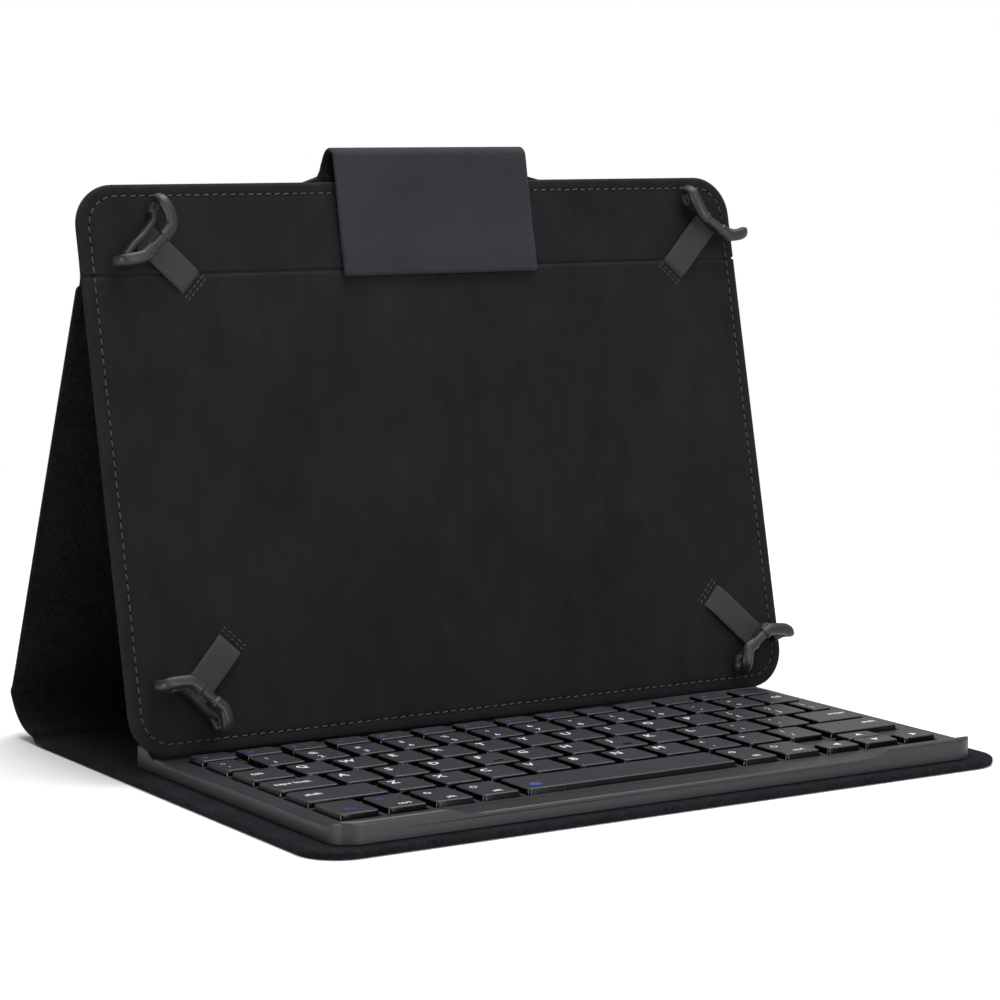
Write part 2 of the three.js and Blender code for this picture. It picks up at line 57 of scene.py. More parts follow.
# ---------------------------------------------------------------- poses of the folding parts
class Pose:
    """Local axes with their origin at y, z (mm), turned about X."""

    def __init__(self, y, z, degrees):
        self.y, self.z = y, z
        self.cos, self.sin = math.cos(rad(degrees)), math.sin(rad(degrees))

    def section(self, y, z):
        """Local y, z to world y, z, both in mm."""
        return (self.y + y * self.cos - z * self.sin, self.z + y * self.sin + z * self.cos)

    def points(self, local):
        """Rows of local x, y, z in mm to world metres."""
        x, y, z = np.asarray(local, float).T
        return np.stack([x, *self.section(y, z)], 1) / 1e3


SPINE_TILT, SPINE_LENGTH = 32.5, 24.1
BACK_TILT, BACK_LENGTH = 22.65, 159.5
PANEL_LEAN = 12.28
FRONT_FOLD = (101.5, 1.8)                   # y, z of the fold between front cover and spine
BACK_FOLD = (FRONT_FOLD[0] + SPINE_LENGTH * math.cos(rad(SPINE_TILT)),
             FRONT_FOLD[1] + SPINE_LENGTH * math.sin(rad(SPINE_TILT)))
ROW = Pose(0, 0, 0)
SPINE = Pose(*FRONT_FOLD, SPINE_TILT)
BACK = Pose(*BACK_FOLD, BACK_TILT)
HOLD = Pose(17, 17.7, -PANEL_LEAN)          # the tablet panel: local y to its back, z up it

HALF_W = 131.5                              # half the width of covers and panel
CORNER_R = 14
PANEL_BOTTOM, PANEL_TOP, CREASE = -7.8, 181.0, 150.6
PANEL_FRONT, PANEL_BACK = 7.3, 10.2         # local y of the panel's two faces
UPPER_INSET = 2.4                           # the upper back is this much narrower each side
SEAM_INSET = 4.1                            # the panel's seam from its edge


# ---------------------------------------------------------------- mesh helpers
def add_mesh(name, verts, faces, uvs, materials, slots, smooth=True, sharp=None, recalc=True):
    """Make an object. Edges bent by more than sharp degrees are kept crisp."""
    mesh = bpy.data.meshes.new(name)
    mesh.from_pydata([tuple(v) for v in verts], [], [tuple(f) for f in faces])
    layer = mesh.uv_layers.new(name="UVMap")
    loop_verts = np.zeros(len(mesh.loops), int)
    mesh.loops.foreach_get("vertex_index", loop_verts)
    loop_uvs = np.asarray(uvs, float)[loop_verts]
    layer.data.foreach_set("uv", loop_uvs.astype(np.float32).ravel())
    for material in materials:
        mesh.materials.append(material)
    mesh.polygons.foreach_set("material_index", np.asarray(slots, np.int32))
    mesh.update()
    mesh.validate()
    obj = bpy.data.objects.new(name, mesh)
    bpy.context.scene.collection.objects.link(obj)
    if smooth:
        mesh.polygons.foreach_set("use_smooth", [True] * len(mesh.polygons))
    mesh.update()
    if recalc:
        bm = bmesh.new()
        bm.from_mesh(mesh)
        if sharp:
            for edge in bm.edges:
                if len(edge.link_faces) == 2 and edge.calc_face_angle(0) > rad(sharp):
                    edge.smooth = False
        bmesh.ops.recalc_face_normals(bm, faces=bm.faces)
        bm.to_mesh(mesh)
        bm.free()
    return obj


def tube_faces(rings, size):
    """Quads between closed rings of size points, then the two end faces."""
    faces = []
    for ring in range(rings - 1):
        for i in range(size):
            a, b = ring * size + i, ring * size + (i + 1) % size
            faces.append((a, b, b + size, a + size))
    faces.append(tuple(range(size))[::-1])
    faces.append(tuple((rings - 1) * size + i for i in range(size)))
    return faces


def join_parts(parts):
    """Join parts of (verts, faces, uvs, slots) into one."""
    verts, faces, uvs, slots = [], [], [], []
    count = 0
    for part_verts, part_faces, part_uvs, part_slots in parts:
        verts.append(np.asarray(part_verts, float))
        faces += [tuple(i + count for i in face) for face in part_faces]
        uvs.append(np.asarray(part_uvs, float))
        slots += list(part_slots)
        count += len(part_verts)
    return np.concatenate(verts), faces, np.concatenate(uvs), slots


def plain_part(verts, faces):
    """A part without texture coordinates, all in the first material."""
    return verts, faces, np.zeros((len(verts), 2)), [0] * len(faces)


def arc_lengths(points):
    steps = np.linalg.norm(np.diff(points, axis=0), axis=1)
    return np.concatenate([[0], np.cumsum(steps)])


def resample(points, count):
    """Evenly spaced points along a polyline, and their distances from its start."""
    points = np.array(points, float)
    lengths = arc_lengths(points)
    wanted = np.linspace(0, lengths[-1], count)
    return np.stack([np.interp(wanted, lengths, column) for column in points.T], 1), wanted


def smooth_path(controls, count, steps=24):
    """Catmull-Rom curve through the controls, resampled evenly."""
    points = np.array(controls, float)
    points = np.vstack([2 * points[0] - points[1], points, 2 * points[-1] - points[-2]])
    curve = []
    for i in range(1, len(points) - 2):
        a, b, c, d = points[i - 1:i + 3]
        for t in np.linspace(0, 1, steps, endpoint=False):
            curve.append(0.5 * ((2 * b) + (-a + c) * t + (2 * a - 5 * b + 4 * c - d) * t * t
                                + (-a + 3 * b - 3 * c + d) * t ** 3))
    curve.append(points[-2])
    return resample(curve, count)


def edge_distance(x, t, x0, x1, t0, t1, radii):
    """Distance to the edge of a rounded rectangle, positive inside. Radii are in the
    order x0 t0, x1 t0, x1 t1, x0 t1."""
    mid_x, mid_t = (x0 + x1) / 2, (t0 + t1) / 2
    left, low = x < mid_x, t < mid_t
    radius = np.where(low, np.where(left, radii[0], radii[1]),
                      np.where(left, radii[3], radii[2]))
    over_x = np.abs(x - mid_x) - (x1 - x0) / 2 + radius
    over_t = np.abs(t - mid_t) - (t1 - t0) / 2 + radius
    outside = np.hypot(np.maximum(over_x, 0), np.maximum(over_t, 0))
    return -(np.minimum(np.maximum(over_x, over_t), 0) + outside - radius)


def rounded_ring(x0, x1, t0, t1, radii, n, mx, mt):
    """Points round a rounded rectangle: n + 1 per corner, mx or mt inside each side."""
    arcs = []
    for centre_x, centre_t, radius, start in (
            (x0 + radii[0], t0 + radii[0], radii[0], math.pi),
            (x1 - radii[1], t0 + radii[1], radii[1], -math.pi / 2),
            (x1 - radii[2], t1 - radii[2], radii[2], 0),
            (x0 + radii[3], t1 - radii[3], radii[3], math.pi / 2)):
        angles = [start + (math.pi / 2) * i / n for i in range(n + 1)]
        arcs.append([(centre_x + radius * math.cos(a), centre_t + radius * math.sin(a))
                     for a in angles])
    ring = []
    for i, count in enumerate((mx, mt, mx, mt)):
        ring += arcs[i]
        (xa, ta), (xb, tb) = arcs[i][-1], arcs[(i + 1) % 4][0]
        for j in range(1, count + 1):
            share = j / (count + 1)
            ring.append((xa + (xb - xa) * share, ta + (tb - ta) * share))
    return ring


PLATE_INSETS = (0.5, 1.0, 2.0, 3.2, 3.7, 4.1, 4.5, 5.0, 6.0, 8.0, 11.0)


def plate(name, pose, box, radii, depth, edge, materials, flat=False, front=None, back=None,
          n=8, mx=24, mt=16, insets=PLATE_INSETS, rim_slot=0, back_slot=0):
    """A board with rolled edges. Its outline is the box (x0, x1, t0, t1); its thickness runs
    through depth (y0, y1). Upright, t is local z and y local y; flat swaps the two.
    front and back warp the faces at y0 and y1."""
    x0, x1, t0, t1 = box
    y0, y1 = depth
    edge = min(edge, (y1 - y0) / 2)
    flats = [inset for inset in insets if inset > edge + 0.15][::-1]
    roll = []                               # inset and depth round a quarter circle
    for i in range(5):
        angle = math.pi / 2 * i / 4
        roll.append((edge * (1 - math.sin(angle)), edge * (1 - math.cos(angle))))
    levels = [(inset, y0, front) for inset in flats]
    levels += [(inset, y0 + sunk, front) for inset, sunk in roll]
    levels += [(inset, y1 - sunk, back) for inset, sunk in roll[::-1]]
    levels += [(inset, y1, back) for inset in flats[::-1]]
    rings = []
    for inset, y, warp in levels:
        shrunk = [max(radius - inset, 0.35) for radius in radii]
        x, t = np.array(rounded_ring(x0 + inset, x1 - inset, t0 + inset, t1 - inset,
                                     shrunk, n, mx, mt)).T
        ys = np.full(len(x), float(y))
        if warp is not None:
            ys += warp(x, t)
        rings.append(np.stack([x, ys, t], 1))
    size = len(rings[0])
    local = np.concatenate(rings)
    faces = tube_faces(len(rings), size)
    if flat:
        faces = [face[::-1] for face in faces]
    slots = []
    for level in range(len(rings) - 1):
        if level >= len(flats) + 4:
            slot = back_slot
        else:
            slot = rim_slot if level >= len(flats) else 0
        slots += [slot] * size
    slots += [0, back_slot]
    verts = pose.points(local[:, [0, 2, 1]] if flat else local)
    return add_mesh(name, verts, faces, local[:, [0, 2]], materials, slots)


# Rounded side edges of a strip: share of the edge width, share of the full thickness.
STRIP_SIDE = [(0, 0.25), (0.13, 0.62), (0.5, 0.92), (1, 1.0)]


def strip(name, path, thickness, x0, x1, nx=40, side=0.5, reshape=None, lined_rim=False):
    """Cloth whose centre line is drawn in world y, z (mm) and which runs along X. The lining
    lies to the left of the path's travel."""
    steps = np.gradient(path, axis=0)
    along = steps / np.linalg.norm(steps, axis=1)[:, None]
    normal = np.stack([-along[:, 1], along[:, 0]], 1)
    lengths = arc_lengths(path)
    count = len(path)
    half = np.broadcast_to(np.asarray(thickness, float), (count,))[:, None] / 2

    def end_cap(i, sign, angles):
        return [path[i] + (sign * along[i] * math.cos(rad(a)) + normal[i] * math.sin(rad(a)))
                * half[i] for a in angles]

    section = np.concatenate([path + normal * half, end_cap(-1, 1, (45, 0, -45)),
                              (path - normal * half)[::-1], end_cap(0, -1, (-45, 0, 45))])
    centre = np.concatenate([path, [path[-1]] * 3, path[::-1], [path[0]] * 3])
    distance = np.concatenate([lengths, [lengths[-1]] * 3, lengths[::-1], [lengths[0]] * 3])
    tags = ["lining"] * count + ["rim"] * 3 + ["cloth"] * count + ["rim"] * 3
    size = len(section)

    columns = [(x0 + side * share, scale) for share, scale in STRIP_SIDE]
    columns += [(x, 1.0) for x in np.linspace(x0 + side, x1 - side, nx + 1)[1:-1]]
    columns += [(x1 - side * share, scale) for share, scale in STRIP_SIDE[::-1]]
    verts, uvs = [], []
    for x, scale in columns:
        xs = np.full(size, x)
        verts.append(np.column_stack([xs, centre + (section - centre) * scale]) / 1e3)
        uvs.append(np.column_stack([xs, distance]))
    verts, uvs = np.concatenate(verts), np.concatenate(uvs)
    if reshape is not None:
        verts = reshape(verts, uvs)

    faces = []
    for i in range(len(columns) - 1):
        for j in range(size):
            a, b = i * size + j, i * size + (j + 1) % size
            faces.append((a, a + size, b + size, b))
    faces.append(tuple(range(size)))
    faces.append(tuple((len(columns) - 1) * size + j for j in range(size))[::-1])
    around = []
    for j in range(size):
        pair = {tags[j], tags[(j + 1) % size]}
        around.append(int(pair == {"lining"} or (lined_rim and pair != {"cloth"})))
    slots = around * (len(columns) - 1) + [int(lined_rim)] * 2
    return add_mesh(name, verts, faces, uvs, [TWILL, PILE], slots)


# ---------------------------------------------------------------- shader helpers
def rgb(colour):
    """A colour from a triple or from one grey value."""
    return tuple(colour) if isinstance(colour, tuple) else (colour,) * 3


class Shader:
    """Adds nodes to a tree. Any input takes either a value or another node's socket."""

    def __init__(self, tree):
        self.tree = tree

    def put(self, node, values):
        for key, value in values.items():
            if isinstance(value, bpy.types.NodeSocket):
                self.tree.links.new(value, node.inputs[key])
            else:
                node.inputs[key].default_value = value

    def add(self, kind, inputs, **settings):
        node = self.tree.nodes.new(kind)
        for key, value in settings.items():
            setattr(node, key, value)
        self.put(node, inputs)
        return node

    def uv(self):
        """Texture coordinates, in mm."""
        return self.add("ShaderNodeUVMap", {}).outputs[0]

    def object_mm(self):
        """Object coordinates, in mm."""
        place = self.add("ShaderNodeTexCoord", {}).outputs["Object"]
        return self.scaled(place, 1000)

    def scaled(self, vector, scale):
        inputs = {0: vector, "Scale": scale}
        return self.add("ShaderNodeVectorMath", inputs, operation="SCALE").outputs[0]

    def mapping(self, vector, scale, rotation=(0, 0, 0)):
        inputs = {"Vector": vector, "Rotation": rotation, "Scale": scale}
        return self.add("ShaderNodeMapping", inputs).outputs[0]

    def xyz(self, vector):
        return self.add("ShaderNodeSeparateXYZ", {0: vector}).outputs

    def math(self, operation, *values):
        inputs = dict(enumerate(values))
        return self.add("ShaderNodeMath", inputs, operation=operation).outputs[0]

    def weighted(self, a, share_a, b, share_b):
        return self.math("ADD", self.math("MULTIPLY", a, share_a),
                         self.math("MULTIPLY", b, share_b))

    def sine(self, value, period):
        return self.math("SINE", self.math("MULTIPLY", value, 2 * math.pi / period))

    def noise(self, vector, scale, detail=3.0, roughness=0.5, output="Fac"):
        inputs = {"Vector": vector, "Scale": scale, "Detail": detail, "Roughness": roughness}
        return self.add("ShaderNodeTexNoise", inputs).outputs[output]

    def ramp(self, source, low, high):
        """Colour ramp between two (position, colour) stops."""
        node = self.add("ShaderNodeValToRGB", {0: source})
        for element, (position, colour) in zip(node.color_ramp.elements, (low, high)):
            element.position = position
            element.color = (*rgb(colour), 1)
        return node.outputs[0]

    def mix(self, factor, base, colour):
        inputs = {0: factor, 6: base, 7: (*colour, 1)}
        return self.add("ShaderNodeMix", inputs, data_type="RGBA").outputs[2]

    def bump(self, height, strength, distance):
        inputs = {"Strength": strength, "Distance": distance, "Height": height}
        return self.add("ShaderNodeBump", inputs).outputs["Normal"]


def new_material(name):
    material = bpy.data.materials.new(name)
    material.use_nodes = True
    sh = Shader(material.node_tree)
    sh.bsdf = sh.tree.nodes["Principled BSDF"]
    return material, sh


# ---------------------------------------------------------------- materials
def twill_material():
    """Melange twill: diagonal ribs crossed by finer yarns that wander slightly."""
    material, sh = new_material("cover_twill")
    dark, light = (0.0045, 0.0043, 0.0056), (0.034, 0.0325, 0.040)
    pitch = 0.72
    uv = sh.uv()
    across, along = sh.xyz(uv)[:2]
    wander = sh.math("SUBTRACT", sh.noise(uv, scale=0.35, detail=2.0), 0.5)
    wander = sh.math("MULTIPLY", wander, 0.5)
    rib = sh.sine(sh.math("ADD", sh.math("ADD", across, along), wander), period=pitch * 1.6)
    yarn = sh.sine(sh.math("SUBTRACT", across, along), period=pitch * 0.9)
    weave = sh.math("MULTIPLY_ADD", rib, 0.34, sh.math("MULTIPLY_ADD", yarn, 0.16, 0.5))
    fibre = sh.noise(uv, scale=2.4, detail=4.0, roughness=0.65)
    melange = sh.noise(uv, scale=0.9, roughness=0.7)
    height = sh.math("ADD", weave, sh.math("MULTIPLY", fibre, 0.35))
    tone = sh.weighted(weave, 0.55, melange, 0.5)
    colour = sh.ramp(tone, (0.25, dark), (0.85, light))
    patches = sh.ramp(sh.noise(uv, scale=0.02), (0.3, 0), (0.75, 0.22))
    colour = sh.mix(patches, colour, [c * 1.9 for c in light])
    sh.put(sh.bsdf, {
        "Base Color": colour,
        "Roughness": sh.ramp(fibre, (0.2, 0.78), (0.8, 0.96)),
        "Sheen Weight": 0.12,
        "Sheen Roughness": 0.5,
        "Sheen Tint": (0.5, 0.5, 0.55, 1),
        "Specular IOR Level": 0.16,
        "Normal": sh.bump(height, strength=0.55, distance=0.00022),
    })
    return material


def pile_material():
    """Brushed felt: matted fibres, specks of lint, clouded nap."""
    material, sh = new_material("microfibre")
    dark, light = (0.0009, 0.0008, 0.0012), (0.0170, 0.0150, 0.0196)
    place = sh.object_mm()
    warp = sh.scaled(sh.noise(place, scale=0.5, output="Color"), 2.2)
    warped = sh.add("ShaderNodeVectorMath", {0: place, 1: warp}, operation="ADD").outputs[0]
    lay = sh.mapping(warped, scale=(1.0, 0.30, 0.55))
    fibre = sh.noise(lay, scale=0.95, detail=4.0, roughness=0.70)
    cloud = sh.noise(place, scale=0.09, detail=4.0, roughness=0.6)
    lint = sh.noise(lay, scale=2.6, roughness=0.8)
    felt = sh.weighted(fibre, 0.62, lint, 0.38)
    colour = sh.ramp(felt, (0.40, dark), (0.63, light))
    colour = sh.mix(sh.ramp(cloud, (0.35, 0), (0.8, 0.4)), colour, [c * 1.3 for c in light])
    sh.put(sh.bsdf, {
        "Base Color": colour,
        "Roughness": 0.97,
        "Specular IOR Level": 0.04,
        "Sheen Weight": 0.10,
        "Sheen Roughness": 0.4,
        "Sheen Tint": (0.35, 0.34, 0.37, 1),
        "Normal": sh.bump(felt, strength=1.0, distance=0.0013),
    })
    return material


def suede_material(name, dark, light):
    """Short-napped suede: fine grain, faint brushed patches, almost no shine."""
    material, sh = new_material(name)
    place = sh.object_mm()
    brushed = sh.mapping(place, scale=(1.0, 1.0, 0.35), rotation=(0, 0.3, 0.2))
    fine = sh.noise(place, scale=3.6, detail=4.0, roughness=0.75)
    nap = sh.noise(brushed, scale=0.9, detail=5.0, roughness=0.7)
    broad = sh.noise(place, scale=0.022, detail=4.0, roughness=0.6)
    patches = sh.noise(brushed, scale=0.13, detail=4.0, roughness=0.65)
    grain = sh.weighted(fine, 0.5, nap, 0.5)
    tone = sh.math("ADD", sh.math("MULTIPLY", broad, 0.35),
                   sh.weighted(patches, 0.3, grain, 0.35))
    sh.put(sh.bsdf, {
        "Base Color": sh.ramp(tone, (0.34, dark), (0.68, light)),
        "Roughness": sh.ramp(grain, (0.3, 0.78), (0.75, 0.95)),
        "Specular IOR Level": 0.12,
        "Sheen Weight": 0.10,
        "Sheen Roughness": 0.45,
        "Sheen Tint": (0.42, 0.36, 0.38, 1),
        "Normal": sh.bump(grain, strength=0.7, distance=0.0002),
    })
    return material


def plastic_material(name, colour, roughness, grain, variation=0.25, depth=0.00004,
                     specular=0.5):
    """Moulded plastic with a fine grain; also stands in for ink, card and rubber."""
    material, sh = new_material(name)
    colour = rgb(colour)
    place = sh.object_mm()
    fine = sh.noise(place, scale=6.0, roughness=0.6)
    broad = sh.noise(place, scale=0.05)
    smudge = sh.noise(place, scale=0.8, detail=4.0, roughness=0.7)
    low = tuple(c * (1 - variation) for c in colour)
    high = tuple(c * (1 + variation) for c in colour)
    sh.put(sh.bsdf, {
        "Base Color": sh.ramp(sh.weighted(fine, 0.45, broad, 0.55), (0.25, low), (0.8, high)),
        "Roughness": sh.ramp(smudge, (0.25, roughness - 0.07), (0.8, roughness + 0.09)),
        "Specular IOR Level": specular,
        "Normal": sh.bump(fine, strength=grain, distance=depth),
    })
    return material


def metal_material(name, colour, roughness):
    """Metal brushed along X."""
    material, sh = new_material(name)
    brushed = sh.mapping(sh.object_mm(), scale=(0.08, 3.0, 3.0))
    grain = sh.noise(brushed, scale=1.0, detail=5.0, roughness=0.7)
    dark = tuple(c * 0.8 for c in colour)
    sh.put(sh.bsdf, {
        "Base Color": sh.ramp(grain, (0.3, dark), (0.7, colour)),
        "Metallic": 1.0,
        "Roughness": sh.ramp(grain, (0.3, roughness - 0.08), (0.7, roughness + 0.1)),
        "Normal": sh.bump(grain, strength=0.2, distance=0.00003),
    })
    return material


def thread_material():
    material, sh = new_material("stitch_thread")
    twist = sh.add("ShaderNodeTexWave",
                   {"Scale": 2.2, "Distortion": 0.6, "Vector": sh.object_mm()},
                   wave_type="BANDS", bands_direction="DIAGONAL").outputs["Fac"]
    dark, light = (0.007, 0.0067, 0.007), (0.040, 0.038, 0.040)
    sh.put(sh.bsdf, {
        "Base Color": sh.ramp(twist, (0.1, dark), (0.9, light)),
        "Roughness": 0.6,
        "Normal": sh.bump(twist, strength=0.5, distance=0.0001),
    })
    return material


def elastic_material():
    material, sh = new_material("woven_elastic")
    across, along = sh.xyz(sh.uv())[:2]
    cords = sh.sine(across, period=0.8)
    picks = sh.sine(along, period=0.55)
    weave = sh.weighted(cords, 0.5, sh.math("MULTIPLY", cords, picks), 0.5)
    tone = sh.math("MULTIPLY_ADD", weave, 0.5, 0.5)
    sh.put(sh.bsdf, {
        "Base Color": sh.ramp(tone, (0.1, 0.005), (0.9, (0.032, 0.032, 0.034))),
        "Roughness": 0.85,
        "Normal": sh.bump(weave, strength=0.6, distance=0.0002),
    })
    return material


TWILL = twill_material()
PILE = pile_material()
HIDE = suede_material("panel_suede", dark=(0.0030, 0.0024, 0.0031),
                      light=(0.0150, 0.0124, 0.0152))
EDGE = suede_material("rolled_edge", dark=(0.0060, 0.0052, 0.0062),
                      light=(0.018, 0.0158, 0.0186))
THREAD = thread_material()
ELASTIC = elastic_material()
SHELL = plastic_material("shell_abs", (0.0215, 0.0208, 0.0252), roughness=0.40, grain=0.30,
                         specular=0.42)
SHELL_IN = plastic_material("shell_underside", (0.026, 0.026, 0.029), roughness=0.55,
                            grain=0.45)
CAP_TOP = plastic_material("cap_top", (0.0270, 0.0264, 0.0318), roughness=0.38, grain=0.35,
                           specular=0.48)
# Glossy cap flanks: the same plastic as the tops, with a near-black colour that is painted shade.
SHADED_CAP_PLASTIC = plastic_material("cap_side", (0.0005, 0.0005, 0.0006), roughness=0.24, grain=0.04,
                            specular=0.20)
SILICONE = plastic_material("silicone", (0.0200, 0.0193, 0.0225), roughness=0.42, grain=0.25,
                            specular=0.34)
RUBBER = plastic_material("foot_rubber", 0.012, roughness=0.8, grain=0.6)
CARD = plastic_material("greyboard", (0.30, 0.25, 0.19), roughness=0.9, grain=0.8,
                        depth=0.0001)
STEEL = metal_material("magnet_steel", (0.62, 0.63, 0.65), roughness=0.35)
FOIL = metal_material("battery_foil", (0.5, 0.52, 0.54), roughness=0.45)
CIRCUIT = plastic_material("circuit_green", (0.012, 0.075, 0.03), roughness=0.4, grain=0.3)
FILM = plastic_material("membrane_film", (0.20, 0.21, 0.12), roughness=0.35, grain=0.2)
BUTTON = plastic_material("button_plastic", (0.018, 0.018, 0.02), roughness=0.35, grain=0.3)
# Near black: painted shade in the needle holes.
HOLE_SHADE = plastic_material("needle_hole", 0.0012, roughness=0.9, grain=0.3, specular=0.05)
WHITE_INK = plastic_material("legend_white", (0.62, 0.62, 0.66), roughness=0.5, grain=0.1,
                             variation=0.05)
BLUE_INK = plastic_material("legend_blue", (0.030, 0.060, 0.26), roughness=0.5, grain=0.1,
                            variation=0.05)
LENS = plastic_material("light_window", (0.45, 0.50, 0.60), roughness=0.15, grain=0.05)


# ---------------------------------------------------------------- the loaded CAD pieces
# Which loaded pieces take which material; where two rules fit, the later one holds.
CAD_MATERIALS = [
    (lambda name: "cloth" in name or name == "flap_riser", TWILL),
    (lambda name: "lining" in name or name == "panel_backing", PILE),
    (lambda name: name == "panel_face", HIDE),
    (lambda name: name.endswith("_board") and name != "control_board", CARD),
    (lambda name: name == "control_board", CIRCUIT),
    (lambda name: name == "contact_membrane", FILM),
    (lambda name: name == "battery", FOIL),
    (lambda name: "plate" in name or "magnet" in name or name == "charging_socket", STEEL),
    (lambda name: name.startswith("hook_"), SILICONE),
    (lambda name: name.startswith("elastic_"), ELASTIC),
    (lambda name: name.startswith("keyboard_foot"), RUBBER),
    (lambda name: name == "keyboard_top_shell", SHELL),
    (lambda name: name == "keyboard_bottom_shell", SHELL_IN),
    (lambda name: name in ("power_switch", "pairing_button"), BUTTON),
    (lambda name: name == "status_light_window", LENS),
    (lambda name: name.endswith(("_keys", "_key")) or name == "space_bar", CAP_TOP),
]


def colour_cad_pieces():
    for fits, material in CAD_MATERIALS:
        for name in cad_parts:
            if fits(name):
                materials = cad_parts[name].data.materials
                materials.clear()
                materials.append(material)


def soften(name, width):
    """Round the crisp edges of a loaded piece by width mm."""
    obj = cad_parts[name]
    flatten = obj.modifiers.new("flatten", "DECIMATE")
    flatten.decimate_type = "DISSOLVE"
    flatten.angle_limit = rad(0.6)
    bevel = obj.modifiers.new("edge", "BEVEL")
    bevel.width = width / 1e3
    bevel.segments = 2
    bevel.limit_method = "ANGLE"
    bevel.angle_limit = rad(25)
    bevel.harden_normals = False
    bevel.use_clamp_overlap = True
    obj.data.polygons.foreach_set("use_smooth", [True] * len(obj.data.polygons))
    obj.modifiers.new("normals", "WEIGHTED_NORMAL").keep_sharp = True


colour_cad_pieces()
soften("keyboard_top_shell", width=0.35)
soften("keyboard_bottom_shell", width=0.2)
for small_piece in ("power_switch", "pairing_button", "status_light_window",
                    "charging_socket"):
    soften(small_piece, width=0.12)


# ---------------------------------------------------------------- covers
def front_cover():
    """One padded cover: cloth below, lining above and round the edge."""
    box = (-HALF_W, HALF_W, -101, 98.6)
    radii = [CORNER_R, CORNER_R, 4, 4]

    def top(x, y):
        inside = edge_distance(x, y, *box, radii)
        return -0.10 * np.exp(-(inside / 1.8) ** 2) + 0.03 * np.sin(x * 0.21) * np.sin(y * 0.17)

    obj = plate("front_cover_skin", ROW, box, radii, depth=(0.0, 2.42), edge=1.1,
                materials=[TWILL, PILE], flat=True, back=top, back_slot=1, rim_slot=1,
                n=10, mx=30, mt=24)
    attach(obj, "front_cover")
    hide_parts("front_cover_cloth", "front_cover_lining", "front_cover_board",
                "keyboard_catch_plate_left", "keyboard_catch_plate_right", "flap_catch_plate")


def spine_folds():
    """One soft sheet from the front cover round the spine to the back. It is drawn as two
    halves that overlap in the middle of the spine, so each half bends over one fold."""
    def sagged(along, share):
        full_sag = 3.0
        return SPINE.section(along, -full_sag * share)

    def half(name, controls):
        return strip(name, smooth_path(controls, 30)[0], 2.16, -HALF_W, HALF_W, nx=60,
                     side=0.9, lined_rim=True)

    obj = half("fold_front_spine", [
        (95.6, 1.22), (97.6, 1.22), (99.6, 1.24), (102.0, 1.38), sagged(3.2, 0.16),
        sagged(5.8, 0.50), sagged(8.6, 0.80), sagged(11.2, 0.97), sagged(13.4, 1.0)])
    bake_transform(obj)
    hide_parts("spine_cloth", "spine_lining")

    middle = sagged(13.4, 1.0)
    start = tuple(np.array(middle) * 0.82 + np.array(sagged(10.8, 0.965)) * 0.18)
    obj = half("fold_spine_back", [
        start, middle, sagged(16.4, 0.92), sagged(19.2, 0.70), sagged(21.6, 0.40),
        BACK.section(0.55, 0.8), BACK.section(0.12, 2.8), BACK.section(0.03, 5.0),
        BACK.section(0.03, 7.4)])
    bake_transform(obj)


def lower_back():
    obj = plate("back_cover_skin", BACK, (-HALF_W, HALF_W, 3.2, BACK_LENGTH - 2.0), [2] * 4,
                depth=(-1.17, 1.23), edge=1.1, materials=[PILE, TWILL], back_slot=1,
                n=4, mx=30, mt=20)
    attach(obj, "lower_back")
    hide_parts("back_cover_cloth", "back_cover_lining", "back_cover_board")


def tablet_panel():
    """Two suede boards, one above and one below the crease."""
    def face(x, t):
        """Grooved along the seam and eased down at the edge."""
        inside = edge_distance(x, t, -HALF_W, HALF_W, PANEL_BOTTOM, PANEL_TOP, [CORNER_R] * 4)
        return (0.28 * np.exp(-((inside - SEAM_INSET) / 0.5) ** 2)
                + 0.16 * np.exp(-(inside / 1.3) ** 2))

    def board(name, bottom, top, radii, mt):
        return plate(name, HOLD, (-HALF_W, HALF_W, bottom, top), radii,
                     depth=(PANEL_FRONT, PANEL_BACK), edge=1.2, materials=[HIDE, PILE, EDGE],
                     front=face, back_slot=1, rim_slot=2, n=12, mx=40, mt=mt)

    gap = 0.15
    lower = board("tablet_panel", PANEL_BOTTOM, CREASE - gap,
                  [CORNER_R, CORNER_R, 0.8, 0.8], mt=26)
    upper = board("tablet_panel_upper", CREASE + gap, PANEL_TOP,
                  [0.8, 0.8, CORNER_R, CORNER_R], mt=8)
    for obj in (lower, upper):
        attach(obj, "tablet_holder")
    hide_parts("panel_face", "panel_board", "panel_backing")


def crease_cloth():
    """The thin sheet that bridges the gap between the two boards."""
    half_width = HALF_W - 0.7
    obj = plate("crease_hinge_cloth", HOLD, (-half_width, half_width, CREASE - 3.0, CREASE + 3.0),
                [1] * 4, depth=(PANEL_FRONT + 0.75, PANEL_BACK - 0.3), edge=0.7,
                materials=[EDGE], insets=(1.5, 2.5), n=3, mx=20, mt=1)
    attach(obj, "tablet_holder")


def upper_back():
    half_width = HALF_W - UPPER_INSET
    top_r = CORNER_R - UPPER_INSET
    obj = plate("upper_back_skin", HOLD, (-half_width, half_width, CREASE + 2.2, PANEL_TOP - 0.2),
                [1.5, 1.5, top_r, top_r], depth=(PANEL_BACK + 0.1, 12.95), edge=1.2,
                materials=[TWILL], n=12, mx=30, mt=6)
    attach(obj, "tablet_holder")
    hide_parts("upper_back_cloth", "upper_back_board")


